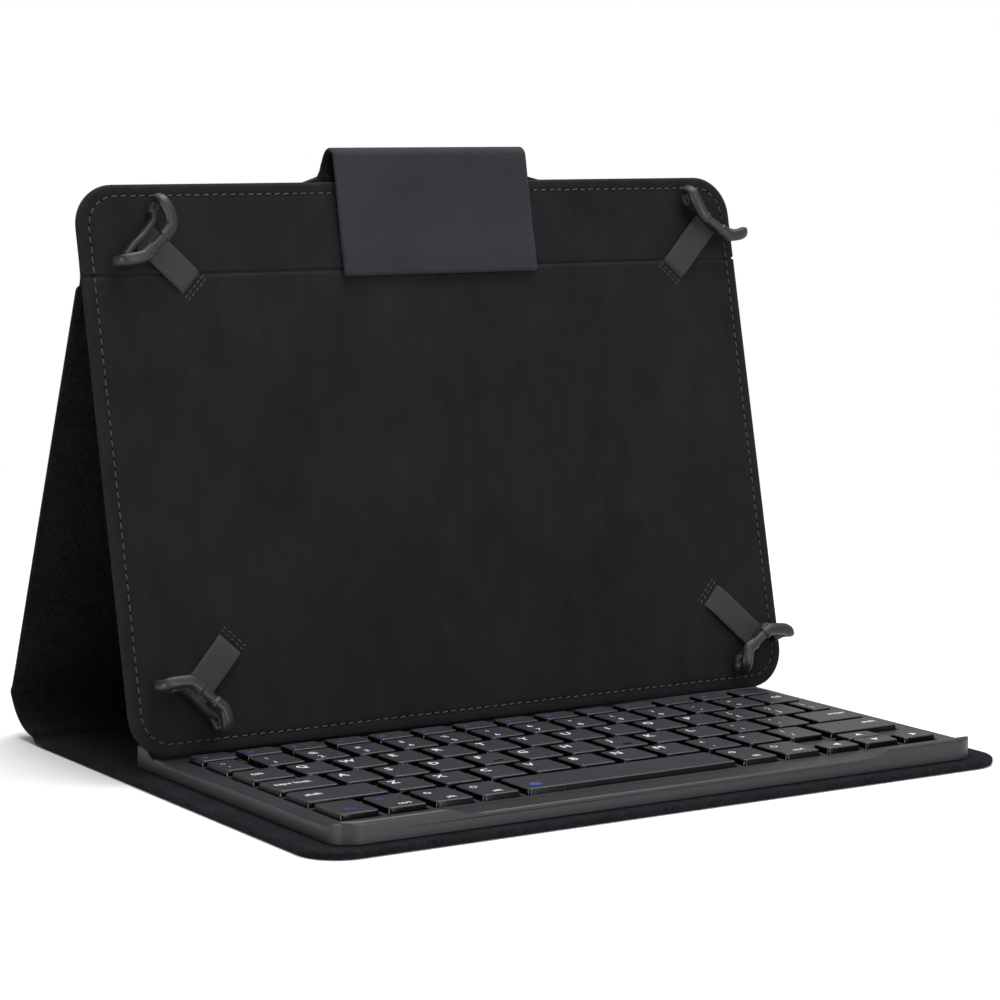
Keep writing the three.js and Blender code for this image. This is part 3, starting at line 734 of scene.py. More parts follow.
def upper_fold():
    """Cloth over the crease between the lower back and the upper back."""
    controls = [BACK.section(0.3, BACK_LENGTH - 4.5), BACK.section(0.35, BACK_LENGTH - 2.6),
                BACK.section(0.5, BACK_LENGTH - 0.6), HOLD.section(11.9, CREASE + 0.9),
                HOLD.section(11.75, CREASE + 2.6), HOLD.section(11.7, CREASE + 4.4)]
    half_width = HALF_W - 1.2
    obj = strip("fold_back_upper", smooth_path(controls, 20)[0], 1.6, -half_width, half_width,
                side=0.7)
    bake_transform(obj)


front_cover()
spine_folds()
lower_back()
tablet_panel()
crease_cloth()
upper_back()
upper_fold()

# ---------------------------------------------------------------- stitches
SEAM_PITCH, SEAM_STITCH = 3.35, 2.35        # spacing and length of the seams' stitches
# Share of a stitch's length, share of its radius.
STITCH_PROFILE = [(0.0, 0.35), (0.12, 0.8), (0.35, 1.0), (0.65, 1.0), (0.88, 0.8), (1.0, 0.35)]


def stitch(start, end, radius):
    """A short thread from start to end."""
    sides = 6
    start, end = np.array(start, float), np.array(end, float)
    along = end - start
    length = np.linalg.norm(along)
    along /= length
    up = np.array([0, 0, 1.0]) if abs(along[2]) < 0.9 else np.array([1.0, 0, 0])
    side = np.cross(along, up)
    side /= np.linalg.norm(side)
    other = np.cross(along, side)
    verts = []
    for share, scale in STITCH_PROFILE:
        for i in range(sides):
            angle = 2 * math.pi * i / sides
            outward = side * math.cos(angle) + other * math.sin(angle)
            verts.append(start + along * length * share + outward * radius * scale)
    return verts, tube_faces(len(STITCH_PROFILE), sides)


def stitch_line(name, points, pose, pitch, length, radius, body, depth, skip_below=None):
    """Stitches along a line of local x, z points at local y = depth, each a little askew."""
    points = np.array(points, float)
    lengths = arc_lengths(points)
    count = int(lengths[-1] // pitch)
    tilt = 0.10
    parts = []
    for i in range(count):
        middle = (i + 0.5) * lengths[-1] / count
        start, end = [np.array([np.interp(place, lengths, points[:, 0]),
                                np.interp(place, lengths, points[:, 1])])
                      for place in (middle - length / 2, middle + length / 2)]
        if skip_below is not None and min(start[1], end[1]) < skip_below:
            continue
        run = end - start
        across = np.array([-run[1], run[0]])
        across /= np.linalg.norm(across)
        offset = rng.normal(0, 0.04)
        a, b = start + across * (offset - tilt), end + across * (offset + tilt)
        verts, faces = stitch((a[0], depth, a[1]), (b[0], depth, b[1]), radius)
        parts.append(plain_part(pose.points(verts), faces))
    verts, faces, uvs, slots = join_parts(parts)
    obj = add_mesh(name, verts, faces, uvs, [THREAD], slots)
    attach(obj, body)


def needle_hole_shades(name, points, pose, pitch, depth, body):
    """Small dark studs at a pitch along a closed line: painted shade in the needle holes."""
    lengths = arc_lengths(points)
    count = int(lengths[-1] // pitch)
    sides = 8
    verts, faces = [], []
    for i in range(count):
        place = i * lengths[-1] / count
        x, t = np.interp(place, lengths, points[:, 0]), np.interp(place, lengths, points[:, 1])
        x += rng.normal(0, 0.04)
        t += rng.normal(0, 0.04)
        first = len(verts)
        for radius, y in ((0.42, depth + 0.10), (0.30, depth - 0.03)):
            for k in range(sides):
                angle = 2 * math.pi * k / sides
                verts.append((x + radius * math.cos(angle), y, t + radius * math.sin(angle)))
        far, near = range(first, first + sides), range(first + sides, first + 2 * sides)
        for k in range(sides):
            nxt = (k + 1) % sides
            faces.append((far[k], far[nxt], near[nxt], near[k]))
        faces += [tuple(near), tuple(far)[::-1]]
    verts, faces, uvs, slots = plain_part(pose.points(verts), faces)
    obj = add_mesh(name, verts, faces, uvs, [HOLE_SHADE], slots, smooth=False)
    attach(obj, body)


def closed_ring(*args):
    ring = rounded_ring(*args, n=10, mx=30, mt=30)
    return np.array(ring + ring[:1], float)


def seams():
    half_width = HALF_W - SEAM_INSET
    ring = closed_ring(-half_width, half_width, PANEL_BOTTOM + SEAM_INSET,
                       PANEL_TOP - SEAM_INSET, [10] * 4)
    stitch_line("panel_stitching", ring, HOLD, SEAM_PITCH, SEAM_STITCH, radius=0.30,
                body="tablet_holder", depth=PANEL_FRONT + 0.06)
    # dark studs of painted shade where the needle holes are
    needle_hole_shades("panel_needle_holes", ring, HOLD, SEAM_PITCH, depth=PANEL_FRONT + 0.22,
                 body="tablet_holder")
    # The seam shows again on the upper back, above the crease.
    half_width = HALF_W - UPPER_INSET - 3.3
    ring = closed_ring(-half_width, half_width, PANEL_BOTTOM + SEAM_INSET, PANEL_TOP - 3.6,
                       [8.4] * 4)
    stitch_line("upper_back_stitching", ring, HOLD, SEAM_PITCH, SEAM_STITCH, radius=0.28,
                body="tablet_holder", depth=12.98, skip_below=CREASE + 3.6)
    for side_name, side in (("left", -1), ("right", 1)):
        x = side * (HALF_W - 3.6)
        stitch_line(f"back_stitching_{side_name}", [(x, 5.0), (x, BACK_LENGTH - 3.0)], BACK,
                    SEAM_PITCH, SEAM_STITCH, radius=0.27, body="lower_back", depth=1.26)


seams()

# ---------------------------------------------------------------- closing flap
FLAP_X, FLAP_HALF = 4.0, 39.0               # middle and half width


def widened(verts, fade=1.0):
    """Widen the flap in a curve where it leaves the back."""
    y, z = verts[:, 1] * 1e3 - HOLD.y, verts[:, 2] * 1e3 - HOLD.z
    t = -y * HOLD.sin + z * HOLD.cos
    spread = (4 * np.clip((192 - t) / 11, 0, 1) ** 1.3
              + 5 * np.clip((183.8 - t) / 2.4, 0, 1.3) ** 2)
    x = verts[:, 0] * 1e3 - FLAP_X
    verts[:, 0] = (FLAP_X + x * (1 + spread * fade / FLAP_HALF)) / 1e3
    return verts


def flap_strip(name, points, samples, thickness, **options):
    path = smooth_path([HOLD.section(y, t) for y, t in points], samples)[0]
    return strip(name, path, thickness, FLAP_X - FLAP_HALF, FLAP_X + FLAP_HALF, **options)


def flap():
    """Root, riser, fold over the top edge, and the tongue that hangs down in front.
    Points are local y and height on the panel."""
    obj = flap_strip("flap_root_cloth",
                     [(11.55, 178.4), (11.55, 180.6), (11.6, 182.2), (11.7, 183.6)],
                     12, 1.45, nx=20, side=0.6, reshape=lambda verts, uvs: widened(verts))
    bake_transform(obj)

    obj = flap_strip("flap_riser_cloth", [(11.7, 183.0), (11.75, 185.4), (11.75, 187.8)],
                     10, 1.4, nx=20, side=0.6, reshape=lambda verts, uvs: widened(verts))
    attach(obj, "flap_root")
    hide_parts("flap_riser")

    loop = [(8.3 + 3.45 * math.cos(rad(a)), 189.1 + 3.0 * math.sin(rad(a)))
            for a in np.linspace(0, 180, 15)]

    def fading(verts, uvs):
        return widened(verts, np.clip((5.2 - uvs[:, 1]) / 4.0, 0, 1))

    obj = flap_strip("flap_fold_cloth", [(11.75, 187.2), (11.75, 188.4)] + loop[:4],
                     12, 1.4, nx=20, side=0.6, reshape=fading)
    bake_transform(obj)

    samples = 60
    share = np.linspace(0, 1, samples)
    # thicker near the tip, over the magnet inside
    thickness = 1.45 + 0.75 * np.exp(-((share - 0.86) / 0.10) ** 2)
    obj = flap_strip("flap_tongue",
                     loop[2:] + [(5.0, 184.0), (5.35, 176.0), (5.65, 166), (5.75, 158),
                                 (5.75, 148.6)],
                     samples, thickness, nx=24, side=0.7)
    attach(obj, "flap")
    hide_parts("flap_tongue_cloth", "flap_tongue_lining", "flap_magnet")


flap()


# ---------------------------------------------------------------- corner hooks
def moulded_tube(path, radius_a, radius_b, sides=20, power=2.7):
    """A tube whose section is a rounded rectangle, as a moulded rubber arm has."""
    along = np.gradient(path, axis=0)
    along /= np.linalg.norm(along, axis=1)[:, None]
    side = np.cross(along[0], [0, 1.0, 0])
    side /= np.linalg.norm(side)
    verts = []
    for i in range(len(path)):
        side = side - along[i] * (side @ along[i])
        side /= np.linalg.norm(side)
        other = np.cross(along[i], side)
        for j in range(sides):
            angle = 2 * math.pi * j / sides
            c, s = math.cos(angle), math.sin(angle)
            verts.append(path[i] + side * math.copysign(abs(c) ** (2 / power), c) * radius_a[i]
                         + other * math.copysign(abs(s) ** (2 / power), s) * radius_b[i])
    return verts, tube_faces(len(path), sides)


def hook_path(start_a, start_b, front, end_a, end_b):
    """Rows of a, b, y: inward from the corner along x and along the height, then local y.
    The arm comes round one edge, crosses the front and goes back round the other edge."""
    return ([[3.6, start_b - 1.4, 4.7], [start_a + 1.3, start_b, 4.0],
             [start_a, start_b, 1.6], [start_a + 1.4, start_b, -1.2]]
            + [[a, b, -2.0] for a, b in front]
            + [[end_a, end_b + 1.4, -1.2], [end_a, end_b, 1.6],
               [end_a, end_b + 1.3, 4.0], [end_a - 1.6, 3.8, 4.7]])


# Rows of hook_path that the shaping of an arm refers to.
ROUND_START, WAIST_START, WAIST_END, ROUND_END = 3, 6, 7, 10
HOOKS = {
    "top_left": hook_path(
        -1.9, 19.8, [[2.8, 19.7], [7.0, 18.8], [9.6, 16.6], [15.0, 12.2], [17.7, 8.6],
                     [17.2, 4.2]], 15.6, -1.3),
    "bottom_left": hook_path(
        -3.2, 15.6, [[0.9, 15.9], [6.8, 15.9], [10.0, 13.3], [15.2, 8.2], [17.8, 5.8],
                     [18.4, 2.2]], 18.4, -1.9),
    "bottom_right": hook_path(
        -1.8, 10.6, [[2.7, 11.9], [8.8, 12.4], [11.6, 11.2], [17.0, 7.8], [19.6, 6.4],
                     [21.0, 2.2]], 21.0, -1.6),
    "top_right": hook_path(
        -2.4, 15.4, [[1.6, 16.4], [6.6, 16.8], [9.4, 14.8], [16.2, 9.8], [18.0, 7.2],
                     [19.4, 3.8]], 20.4, -1.3),
}
HOOK_LEFT, HOOK_RIGHT, HOOK_TOP = -119.9, 129.7, 174.1
# Corner x and height, then the inward direction of each.
CORNERS = {
    "top_left": (HOOK_LEFT, HOOK_TOP, 1, -1),
    "top_right": (HOOK_RIGHT, HOOK_TOP, -1, -1),
    "bottom_left": (HOOK_LEFT, 0, 1, 1),
    "bottom_right": (HOOK_RIGHT, 0, -1, 1),
}


def hook_arm(controls):
    """An arm with a ribbed waist between two collars."""
    count = 190
    # Arms are nearly straight between tight bends: mix the polyline with its smooth curve.
    curve, along = smooth_path(controls, count, steps=16)
    straight, _ = resample(controls, count)
    window = np.ones(9) / 9
    straight = np.stack([np.convolve(np.pad(column, 4, "edge"), window, "valid")
                         for column in straight.T], 1)
    path = curve * 0.35 + straight * 0.65

    def distance_at(row):
        gaps = np.linalg.norm(path - np.array(controls[row]), axis=1)
        return along[np.argmin(gaps)]

    start, end = distance_at(WAIST_START) + 0.5, distance_at(WAIST_END) - 0.5
    waist = 1 / (1 + np.exp(-(along - start) / 0.16)) / (1 + np.exp((along - end) / 0.16))
    radius = np.full(count, 2.1) - 0.62 * waist
    for collar in (start, end):
        radius += 0.38 * np.exp(-((along - collar) / 0.42) ** 4)
    ribbed = (along > start + 0.9) & (along < end - 0.9)
    wave = np.sin((along - start) * 2 * math.pi / 1.05)
    ribs = np.where(ribbed, 0.20 * np.clip(wave * 2, -1, 1), 0)
    beyond = np.maximum(distance_at(ROUND_START) - along, along - distance_at(ROUND_END))
    radius = radius - 0.45 / (1 + np.exp(-beyond / 0.7))
    return moulded_tube(path, radius + ribs, np.minimum(radius * 0.84, 1.8))


def hook_bar(controls):
    """The flat bar that joins the two ends of an arm behind it."""
    count = 26
    path, _ = smooth_path(controls, count, steps=16)
    return moulded_tube(path, np.full(count, 1.15), np.full(count, 2.3), sides=16, power=3.2)


def hooks():
    for key, (x, t, inward_x, inward_t) in CORNERS.items():
        rows = HOOKS[key]
        bar_rows = [(2.6, rows[0][1] - 0.6), (6.2, 14.0), (10.4, 10.4), (14.0, 6.2),
                    (rows[-1][0] + 0.6, 2.8)]
        arm = [(x + inward_x * a, y, t + inward_t * b) for a, b, y in rows]
        bar = [(x + inward_x * a, 4.85, t + inward_t * b) for a, b in bar_rows]
        parts = []
        for verts, faces in (hook_arm(arm), hook_bar(bar)):
            verts = np.array(verts)
            # flattened in front of the panel's stitching
            verts[:, 1] = np.minimum(verts[:, 1], PANEL_FRONT - 0.48)
            parts.append((HOLD.points(verts), faces, verts[:, :2], [0] * len(faces)))
        verts, faces, uvs, slots = join_parts(parts)
        obj = add_mesh("corner_" + key, verts, faces, uvs, [SILICONE], slots)
        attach(obj, "hook_" + key)
        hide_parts("hook_" + key)


# Strap centre line: distance inward along the corner's diagonal, local y.
STRAP_PROFILE = [(1.2, 5.9), (3.0, 6.15), (6.0, 6.2), (12.0, 6.25), (18.0, 6.35),
                 (21.2, 6.55), (22.6, 7.0), (23.3, 7.9), (23.5, 9.0)]
STRAP_HALF, STRAP_THICK = 5.0, 1.05
STRAP_CORNER = 10.4                         # the strap starts this far in from the corner


def strap_section():
    """Points of across, thickness round the strap."""
    flat = STRAP_HALF - 0.4
    half = []
    for k in range(11):
        half.append((-flat + 2 * flat * k / 10, STRAP_THICK / 2))
    half += [(STRAP_HALF - 0.12, STRAP_THICK * 0.35), (STRAP_HALF, 0),
             (STRAP_HALF - 0.12, -STRAP_THICK * 0.35)]
    # the other half: the flat run, then the edge, both turned by half a turn
    return half + [(-across, -lift) for across, lift in half]


def straps():
    """Woven elastic from each hook's bar into a slot in the panel, sewn down beyond it."""
    root_half = math.sqrt(0.5)
    path, lengths = smooth_path(STRAP_PROFILE, 26)
    lengths = arc_lengths(path)
    along = np.gradient(path, axis=0)
    along /= np.linalg.norm(along, axis=1)[:, None]
    section = strap_section()
    for key, (x, t, inward_x, inward_t) in CORNERS.items():
        def diagonal(inward, across):
            """x and height at a distance inward from the strap's start and across it."""
            return (x + inward_x * STRAP_CORNER + inward_x * (inward - across) * root_half,
                    t + inward_t * STRAP_CORNER + inward_t * (inward + across) * root_half)

        verts, uvs = [], []
        for (inward, y), (run, rise), length in zip(path, along, lengths):
            for across, lift in section:
                place_x, place_t = diagonal(inward - rise * lift, across)
                verts.append((place_x, y + run * lift, place_t))
                uvs.append((across, length))
        faces = tube_faces(len(path), len(section))
        obj = add_mesh("strap_" + key, HOLD.points(verts), faces, uvs, [ELASTIC],
                       [0] * len(faces), sharp=50)
        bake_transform(obj)
        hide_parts("elastic_" + key)
        for row, inward in enumerate((25.0, 26.4)):
            stitch_line(f"slot_stitching_{key}_{row}",
                        [diagonal(inward, 5.6), diagonal(inward, -5.6)], HOLD, pitch=2.0,
                        length=1.5, radius=0.24, body="tablet_holder",
                        depth=PANEL_FRONT - 0.02)


hooks()
straps()


# ---------------------------------------------------------------- key caps
def key_run(count, x0, pitch=16.8, width=12.8):
    return [(x0 + i * pitch, x0 + i * pitch + width) for i in range(count)]


KEYS_X0, KEYS_X1 = -114, 114                # left and right ends of the key field
# y range of each row, from the front to the back
ROW_1, ROW_2, ROW_3 = (-82.6, -66.2), (-62.3, -48.0), (-44.5, -30.2)
ROW_4, ROW_5, ROW_6 = (-26.7, -12.4), (-8.9, 5.4), (8.4, 17.4)
LOW_ARROWS = (ROW_1[0], -75.0)
# Group: y range, x ranges of its keys.
KEY_GROUPS = {
    "function_keys": (ROW_6, key_run(14, KEYS_X0, 16.55, 12.6)),
    "number_keys": (ROW_5, [(KEYS_X0, -104.4)] + key_run(12, -99) + [(101.4, KEYS_X1)]),
    "upper_letter_keys": (ROW_4, [(KEYS_X0, -99.2)] + key_run(12, -94.9) + [(106.2, KEYS_X1)]),
    "caps_lock_key": (ROW_3, [(KEYS_X0, -93.8)]),
    "middle_letter_keys": (ROW_3, key_run(11, -90)),
    "return_key": (ROW_3, [(94.8, KEYS_X1)]),
    "left_shift_key": (ROW_2, [(KEYS_X0, -86)]),
    "lower_letter_keys": (ROW_2, key_run(10, -81.8)),
    "right_shift_key": (ROW_2, [(86.4, KEYS_X1)]),
    "left_modifier_keys": (ROW_1, [(KEYS_X0, -101.2), (-97.4, -84.6), (-80.8, -68),
                                   (-64.2, -51.4)]),
    "space_bar": (ROW_1, [(-47.8, 31)]),
    "right_modifier_keys": (ROW_1, [(34.8, 47.8), (51.8, 65)]),
    "left_arrow_key": (LOW_ARROWS, [(69, 81.6)]),
    "up_arrow_key": ((-73.4, ROW_1[1]), [(85, 98)]),
    "down_arrow_key": (LOW_ARROWS, [(85, 98)]),
    "right_arrow_key": (LOW_ARROWS, [(101.4, KEYS_X1)]),
}
CAP_Z = 9.3
# Levels of a cap: outset from its top face, z, corner radius.
CAP_LEVELS = [
    (0.50, 6.05, 1.15), (0.46, 7.2, 1.15), (0.26, 8.80, 1.1), (0.22, 8.98, 1.1),
    (0.13, 9.16, 1.0), (-0.02, 9.26, 0.9), (-0.22, CAP_Z, 0.8), (-1.0, CAP_Z - 0.03, 0.7),
    (-2.4, CAP_Z - 0.08, 0.6), (-3.3, CAP_Z - 0.10, 0.35)]


def cap_part(x0, x1, y0, y1):
    """A cap with straight glossy flanks painted near black as shade, a rolled rim and a slightly
    dished satin top.
    """
    most_inset = min(x1 - x0, y1 - y0) / 2 - 0.6
    verts = []
    for outset, z, radius in CAP_LEVELS:
        outset = max(outset, -most_inset)
        ring = rounded_ring(x0 - outset, x1 + outset, y0 - outset, y1 + outset, [radius] * 4,
                            n=5, mx=2, mt=2)
        verts += [(x, y, z) for x, y in ring]
    size = len(ring)
    verts = np.array(verts)
    # the flank rings take the near-black plastic of painted shade
    flank_rings = 3
    top_rings = len(CAP_LEVELS) - 1 - flank_rings
    slots = [1] * (flank_rings * size) + [0] * (top_rings * size) + [1, 0]
    return verts / 1e3, tube_faces(len(CAP_LEVELS), size), verts[:, :2], slots


def key_caps():
    for name, ((y0, y1), spans) in KEY_GROUPS.items():
        verts, faces, uvs, slots = join_parts([cap_part(x0, x1, y0, y1) for x0, x1 in spans])
        obj = add_mesh("caps_" + name, verts, faces, uvs, [CAP_TOP, SHADED_CAP_PLASTIC], slots)
        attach(obj, name)
        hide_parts(name)


key_caps()


# ---------------------------------------------------------------- legends
def key_point(group, index, share_x, share_y):
    """A point on a key, by shares of its width and depth."""
    (y0, y1), spans = KEY_GROUPS[group]
    x0, x1 = spans[index]
    return x0 + (x1 - x0) * share_x, y0 + (y1 - y0) * share_y


def glyph(text, size, x, y, bold):
    """Text centred on x with its baseline at y."""
    half_thick = 0.012
    curve = bpy.data.curves.new("glyph", "FONT")
    curve.body = text
    curve.size = size / 1e3
    curve.resolution_u = 2
    curve.offset = bold / 1e3
    curve.extrude = half_thick / 1e3
    obj = bpy.data.objects.new("glyph", curve)
    bpy.context.scene.collection.objects.link(obj)
    depsgraph = bpy.context.evaluated_depsgraph_get()
    mesh = bpy.data.meshes.new_from_object(obj.evaluated_get(depsgraph))
    verts = np.array([v.co for v in mesh.vertices], float).reshape(-1, 3)
    faces = [tuple(p.vertices) for p in mesh.polygons]
    bpy.data.objects.remove(obj)
    bpy.data.curves.remove(curve)
    bpy.data.meshes.remove(mesh)
    middle = (verts[:, 0].min() + verts[:, 0].max()) / 2
    verts += (x / 1e3 - middle, y / 1e3, (CAP_Z - half_thick) / 1e3)
    return plain_part(verts, faces)


def prism(outline, height=0.035):
    """A low flat shape that stands a little out of a key's top."""
    n = len(outline)
    base = CAP_Z - 0.02
    verts = [(x / 1e3, y / 1e3, z / 1e3) for z in (base, base + height) for x, y in outline]
    faces = [tuple(range(n))[::-1], tuple(range(n, 2 * n))]
    faces += [(i, (i + 1) % n, n + (i + 1) % n, n + i) for i in range(n)]
    return plain_part(verts, faces)


def box_mark(x, y, width, depth, **options):
    return prism([(x, y), (x + width, y), (x + width, y + depth), (x, y + depth)], **options)


def circle(x, y, radius, count):
    return [(x + radius * math.cos(a), y + radius * math.sin(a))
            for a in np.linspace(0, 2 * math.pi, count + 1)[:-1]]


# Group, index of its first letter key, letters.
LETTERS = [("upper_letter_keys", 1, "QWERTYUIOP"), ("middle_letter_keys", 0, "ASDFGHJKL"),
           ("lower_letter_keys", 0, "ZXCVBNM")]
# Group, index of its first sign key, upper signs, lower signs.
SIGNS = [("upper_letter_keys", 11, "{}|", "[]\\"), ("middle_letter_keys", 9, ":\"", ";'"),
         ("lower_letter_keys", 7, "<>?", ",./")]
# Group, key index, word, share of the key's width.
WORDS = [("upper_letter_keys", 0, "tab", 0.36), ("caps_lock_key", 0, "caps lock", 0.42),
         ("left_shift_key", 0, "shift", 0.22), ("return_key", 0, "enter", 0.72),
         ("right_shift_key", 0, "shift", 0.80), ("number_keys", 13, "del", 0.62)]
MODIFIERS = [("left_modifier_keys", 1, "ctrl"), ("left_modifier_keys", 2, "alt"),
             ("left_modifier_keys", 3, "alt"), ("right_modifier_keys", 0, "alt"),
             ("right_modifier_keys", 1, "ctrl")]
ARROWS = [("left_arrow_key", (-1, 0)), ("right_arrow_key", (1, 0)),
          ("up_arrow_key", (0, 1)), ("down_arrow_key", (0, -1))]


def text_legends(white):
    def write(group, index, text, size, share_x, share_y, bold=0.04):
        x, y = key_point(group, index, share_x, share_y)
        white[group].append(glyph(text, size, x, y, bold))

    for group, first, letters in LETTERS:
        for i, letter in enumerate(letters):
            write(group, first + i, letter, 4.9, 0.27, 0.60, bold=0.10)
    for group, first, uppers, lowers in SIGNS:
        for i, (upper, lower) in enumerate(zip(uppers, lowers)):
            write(group, first + i, upper, 3.6, 0.28, 0.60)
            write(group, first + i, lower, 3.6, 0.28, 0.18)
    for i, (upper, lower) in enumerate(zip("~!@#$%^&*()_+", "`1234567890-=")):
        write("number_keys", i, upper, 3.4, 0.32, 0.60)
        write("number_keys", i, lower, 3.8, 0.32, 0.16)
    for group, index, word, share_x in WORDS:
        write(group, index, word, 3.5, share_x, 0.50, bold=0.05)


def modifier_legends(white, blue):
    """A word with a small ring above it; the ring on the left ctrl key is blue."""
    for group, index, word in MODIFIERS:
        x, y = key_point(group, index, 0.56, 0.16)
        white[group].append(glyph(word, 3.3, x, y, bold=0.04))
        ink = blue if (group, index) == ("left_modifier_keys", 1) else white
        x, y = key_point(group, index, 0.26, 0.70)
        count = 13
        outer, inner = circle(x, y, 1.25, count), circle(x, y, 0.85, count)
        for i in range(count):
            j = (i + 1) % count
            ink[group].append(prism([inner[i], outer[i], outer[j], inner[j]]))
    x, y = key_point("left_modifier_keys", 0, 0.40, 0.25)
    blue["left_modifier_keys"].append(glyph("Fn", 4.0, x + 1, y, bold=0.05))


def space_mark(blue):
    """A round mark at the left end of the space bar."""
    (y0, y1), spans = KEY_GROUPS["space_bar"]
    blue["space_bar"].append(prism(circle(spans[0][0] + 5.6, (y0 + y1) / 2 - 3.2, 2.1, 24)))


def arrow_legends(white):
    size = 1.5
    for group, (dx, dy) in ARROWS:
        x, y = key_point(group, 0, 0.5, 0.5)
        tail_x, tail_y = x - dx * size * 0.7, y - dy * size * 0.7
        white[group].append(prism([(x + dx * size, y + dy * size),
                                   (tail_x - dy * size, tail_y + dx * size),
                                   (tail_x + dy * size, tail_y - dx * size)]))


def function_legends(blue):
    """Four small signs in turn: disc, two bars, triangle, dash."""
    marks = blue["function_keys"]
    for i in range(14):
        x, y = key_point("function_keys", i, 0.22, 0.35)
        kind = i % 4
        if kind == 0:
            marks.append(prism(circle(x, y + 1.0, 1.1, 10)))
        elif kind == 1:
            marks.append(box_mark(x - 1, y, 0.7, 2.2))
            marks.append(box_mark(x + 0.4, y, 0.7, 2.2))
        elif kind == 2:
            marks.append(prism([(x - 1, y), (x + 1.4, y + 1.1), (x - 1, y + 2.2)]))
        else:
            marks.append(box_mark(x - 1, y + 0.6, 2.6, 0.8))


def homing_bars():
    """Raised bars on the F and J keys, in the flanks' near-black plastic of painted shade."""
    parts = []
    for index in (3, 6):
        x, y = key_point("middle_letter_keys", index, 0.5, 0.20)
        parts.append(box_mark(x - 1.6, y - 0.2, 3.2, 0.45, height=0.28))
    verts, faces, uvs, slots = join_parts(parts)
    obj = add_mesh("homing_bars", verts, faces, uvs, [SHADED_CAP_PLASTIC], slots, recalc=False)
    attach(obj, "middle_letter_keys")


def legends():
    white = {group: [] for group in KEY_GROUPS}
    blue = {group: [] for group in KEY_GROUPS}
    text_legends(white)
    modifier_legends(white, blue)
    space_mark(blue)
    arrow_legends(white)
    function_legends(blue)
    for groups, ink, tag in ((white, WHITE_INK, "white"), (blue, BLUE_INK, "blue")):
        for group, parts in groups.items():
            if not parts:
                continue
            verts, faces, uvs, slots = join_parts(parts)
            obj = add_mesh(f"legend_{tag}_{group}", verts, faces, uvs, [ink], slots,
                           smooth=False)
            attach(obj, group)
    homing_bars()


legends()


# ---------------------------------------------------------------- floor, lights, world, camera
def floor_material():
    """Pale matt floor that melts into white away from the case."""
    material, sh = new_material("pale_floor")
    place = sh.object_mm()
    tone = sh.noise(place, scale=0.01, detail=2.0)
    sh.put(sh.bsdf, {
        "Base Color": sh.ramp(tone, (0.2, 0.80), (0.8, 0.84)),
        "Roughness": 0.9,
        "Specular IOR Level": 0.1,
    })
    distance = sh.add("ShaderNodeVectorMath", {0: place}, operation="LENGTH").outputs["Value"]
    fade = sh.add("ShaderNodeMapRange", {0: distance, "From Min": 330.0, "From Max": 900.0})
    glow = sh.add("ShaderNodeEmission", {"Strength": 1.0})
    mixed = sh.add("ShaderNodeMixShader", {0: fade.outputs[0], 1: sh.bsdf.outputs[0],
                                           2: glow.outputs[0]})
    sh.put(sh.tree.nodes["Material Output"], {0: mixed.outputs[0]})
    return material


def floor():
    half = 6.0
    mesh = bpy.data.meshes.new("floor")
    mesh.from_pydata([(-half, -half, 0), (half, -half, 0), (half, half, 0), (-half, half, 0)],
                     [], [(0, 1, 2, 3)])
    obj = bpy.data.objects.new("floor", mesh)
    bpy.context.scene.collection.objects.link(obj)
    obj.location.z = -0.0002
    mesh.materials.append(floor_material())


def area_light(name, place, target, size, power, size_y=None):
    light = bpy.data.lights.new(name, "AREA")
    light.energy = power
    light.size = size
    if size_y:
        light.shape = "RECTANGLE"
        light.size_y = size_y
    obj = bpy.data.objects.new(name, light)
    bpy.context.scene.collection.objects.link(obj)
    obj.location = place
    aim = Vector(target) - Vector(place)
    obj.rotation_euler = aim.to_track_quat("-Z", "Y").to_euler()
    obj.visible_camera = False
    return obj


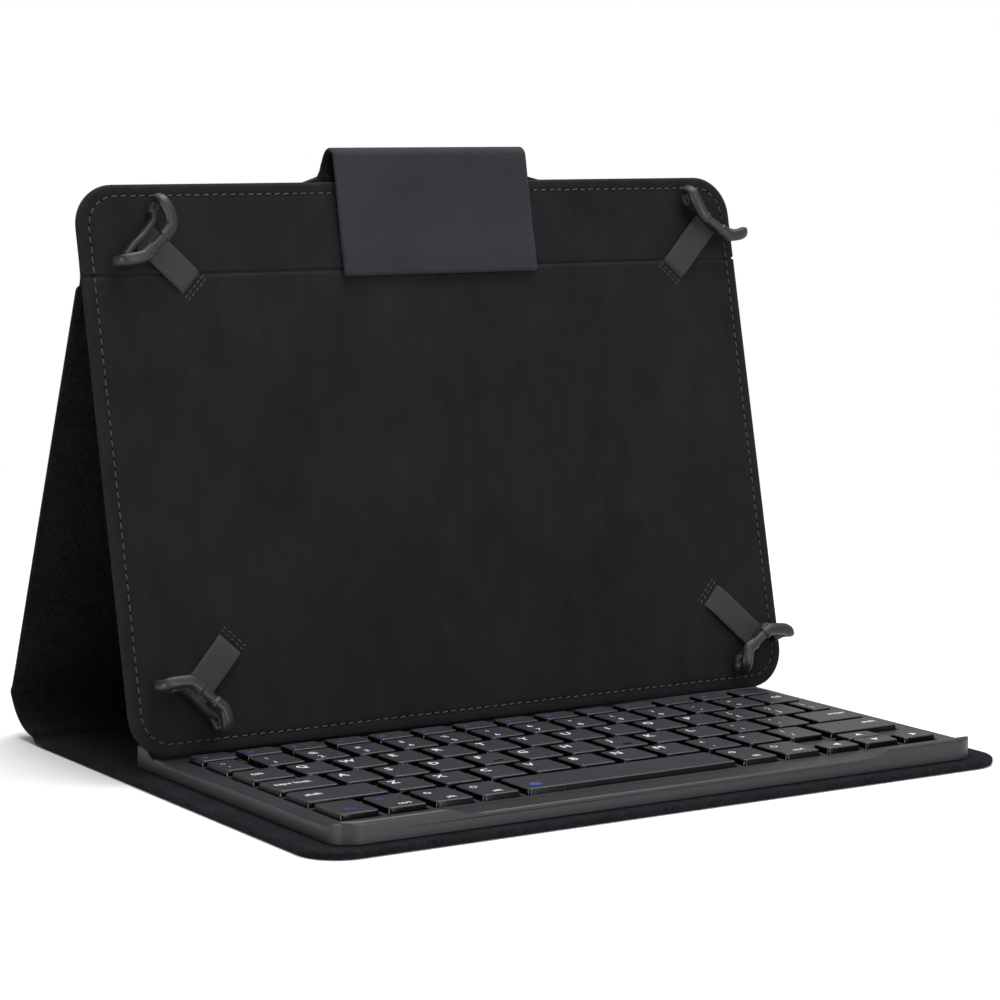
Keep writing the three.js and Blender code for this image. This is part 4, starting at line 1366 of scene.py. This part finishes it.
def lights():
    area_light("top", place=(0.15, 0.0, 1.5), target=(0, 0, 0.0), size=1.5, power=36)
    area_light("front", place=(-0.2, -1.6, 1.0), target=(0, 0, 0.05), size=1.2, power=11)
    # two narrow lamps that only draw glints on the rolled corners
    for name, place, power in (("left_strip", (-1.25, -0.37, 0.17), 7),
                               ("front_strip", (0.24, -1.32, 0.17), 5)):
        lamp = area_light(name, place, target=(-0.12, -0.09, 0.01), size=0.03, power=power,
                          size_y=0.30)
        lamp.visible_diffuse = False
    area_light("rim", place=(-0.6, 1.2, 0.8), target=(0, 0, 0.1), size=0.8, power=2)


def studio_world():
    """White to the camera; as a light, darker on the left than in front and overhead."""
    world = bpy.data.worlds.new("studio")
    bpy.context.scene.world = world
    world.use_nodes = True
    sh = Shader(world.node_tree)
    white = (1, 1, 1, 1)
    ambient = sh.tree.nodes["Background"]
    # this strength holds only while the falloff below is unlinked
    sh.put(ambient, {"Color": white, "Strength": 0.38})
    direction = sh.add("ShaderNodeTexCoord", {}).outputs["Generated"]
    falloff = sh.add("ShaderNodeMapRange", {
        0: sh.xyz(direction)[0], "From Min": -1.0, "From Max": -0.1, "To Min": 0.05,
        "To Max": 0.40})
    sh.put(ambient, {"Strength": falloff.outputs[0]})
    seen = sh.add("ShaderNodeBackground", {"Color": white, "Strength": 1.0})
    camera_ray = sh.add("ShaderNodeLightPath", {}).outputs["Is Camera Ray"]
    mixed = sh.add("ShaderNodeMixShader", {0: camera_ray, 1: ambient.outputs[0],
                                           2: seen.outputs[0]})
    sh.put(sh.tree.nodes["World Output"], {0: mixed.outputs[0]})
    bpy.context.scene.view_settings.view_transform = "Standard"


def camera():
    """A long lens, low at the front left."""
    azimuth, elevation = rad(-32.15), rad(7.01)
    back = Vector((math.sin(azimuth) * math.cos(elevation),
                   -math.cos(azimuth) * math.cos(elevation), math.sin(elevation)))
    right = (-back).cross(Vector((0, 0, 1))).normalized()
    up = right.cross(-back).normalized()
    data = bpy.data.cameras.new("camera")
    data.sensor_width = 36
    data.lens = 36 * 3.087                  # sensor width times the lens's reach
    data.clip_start = 0.01
    data.clip_end = 50
    obj = bpy.data.objects.new("camera", data)
    bpy.context.scene.collection.objects.link(obj)
    pose = Matrix((right, up, back)).transposed().to_4x4()
    pose.translation = Vector((-0.552, -0.868, 0.2137))
    obj.matrix_world = pose
    bpy.context.scene.camera = obj


floor()
lights()
studio_world()
camera()
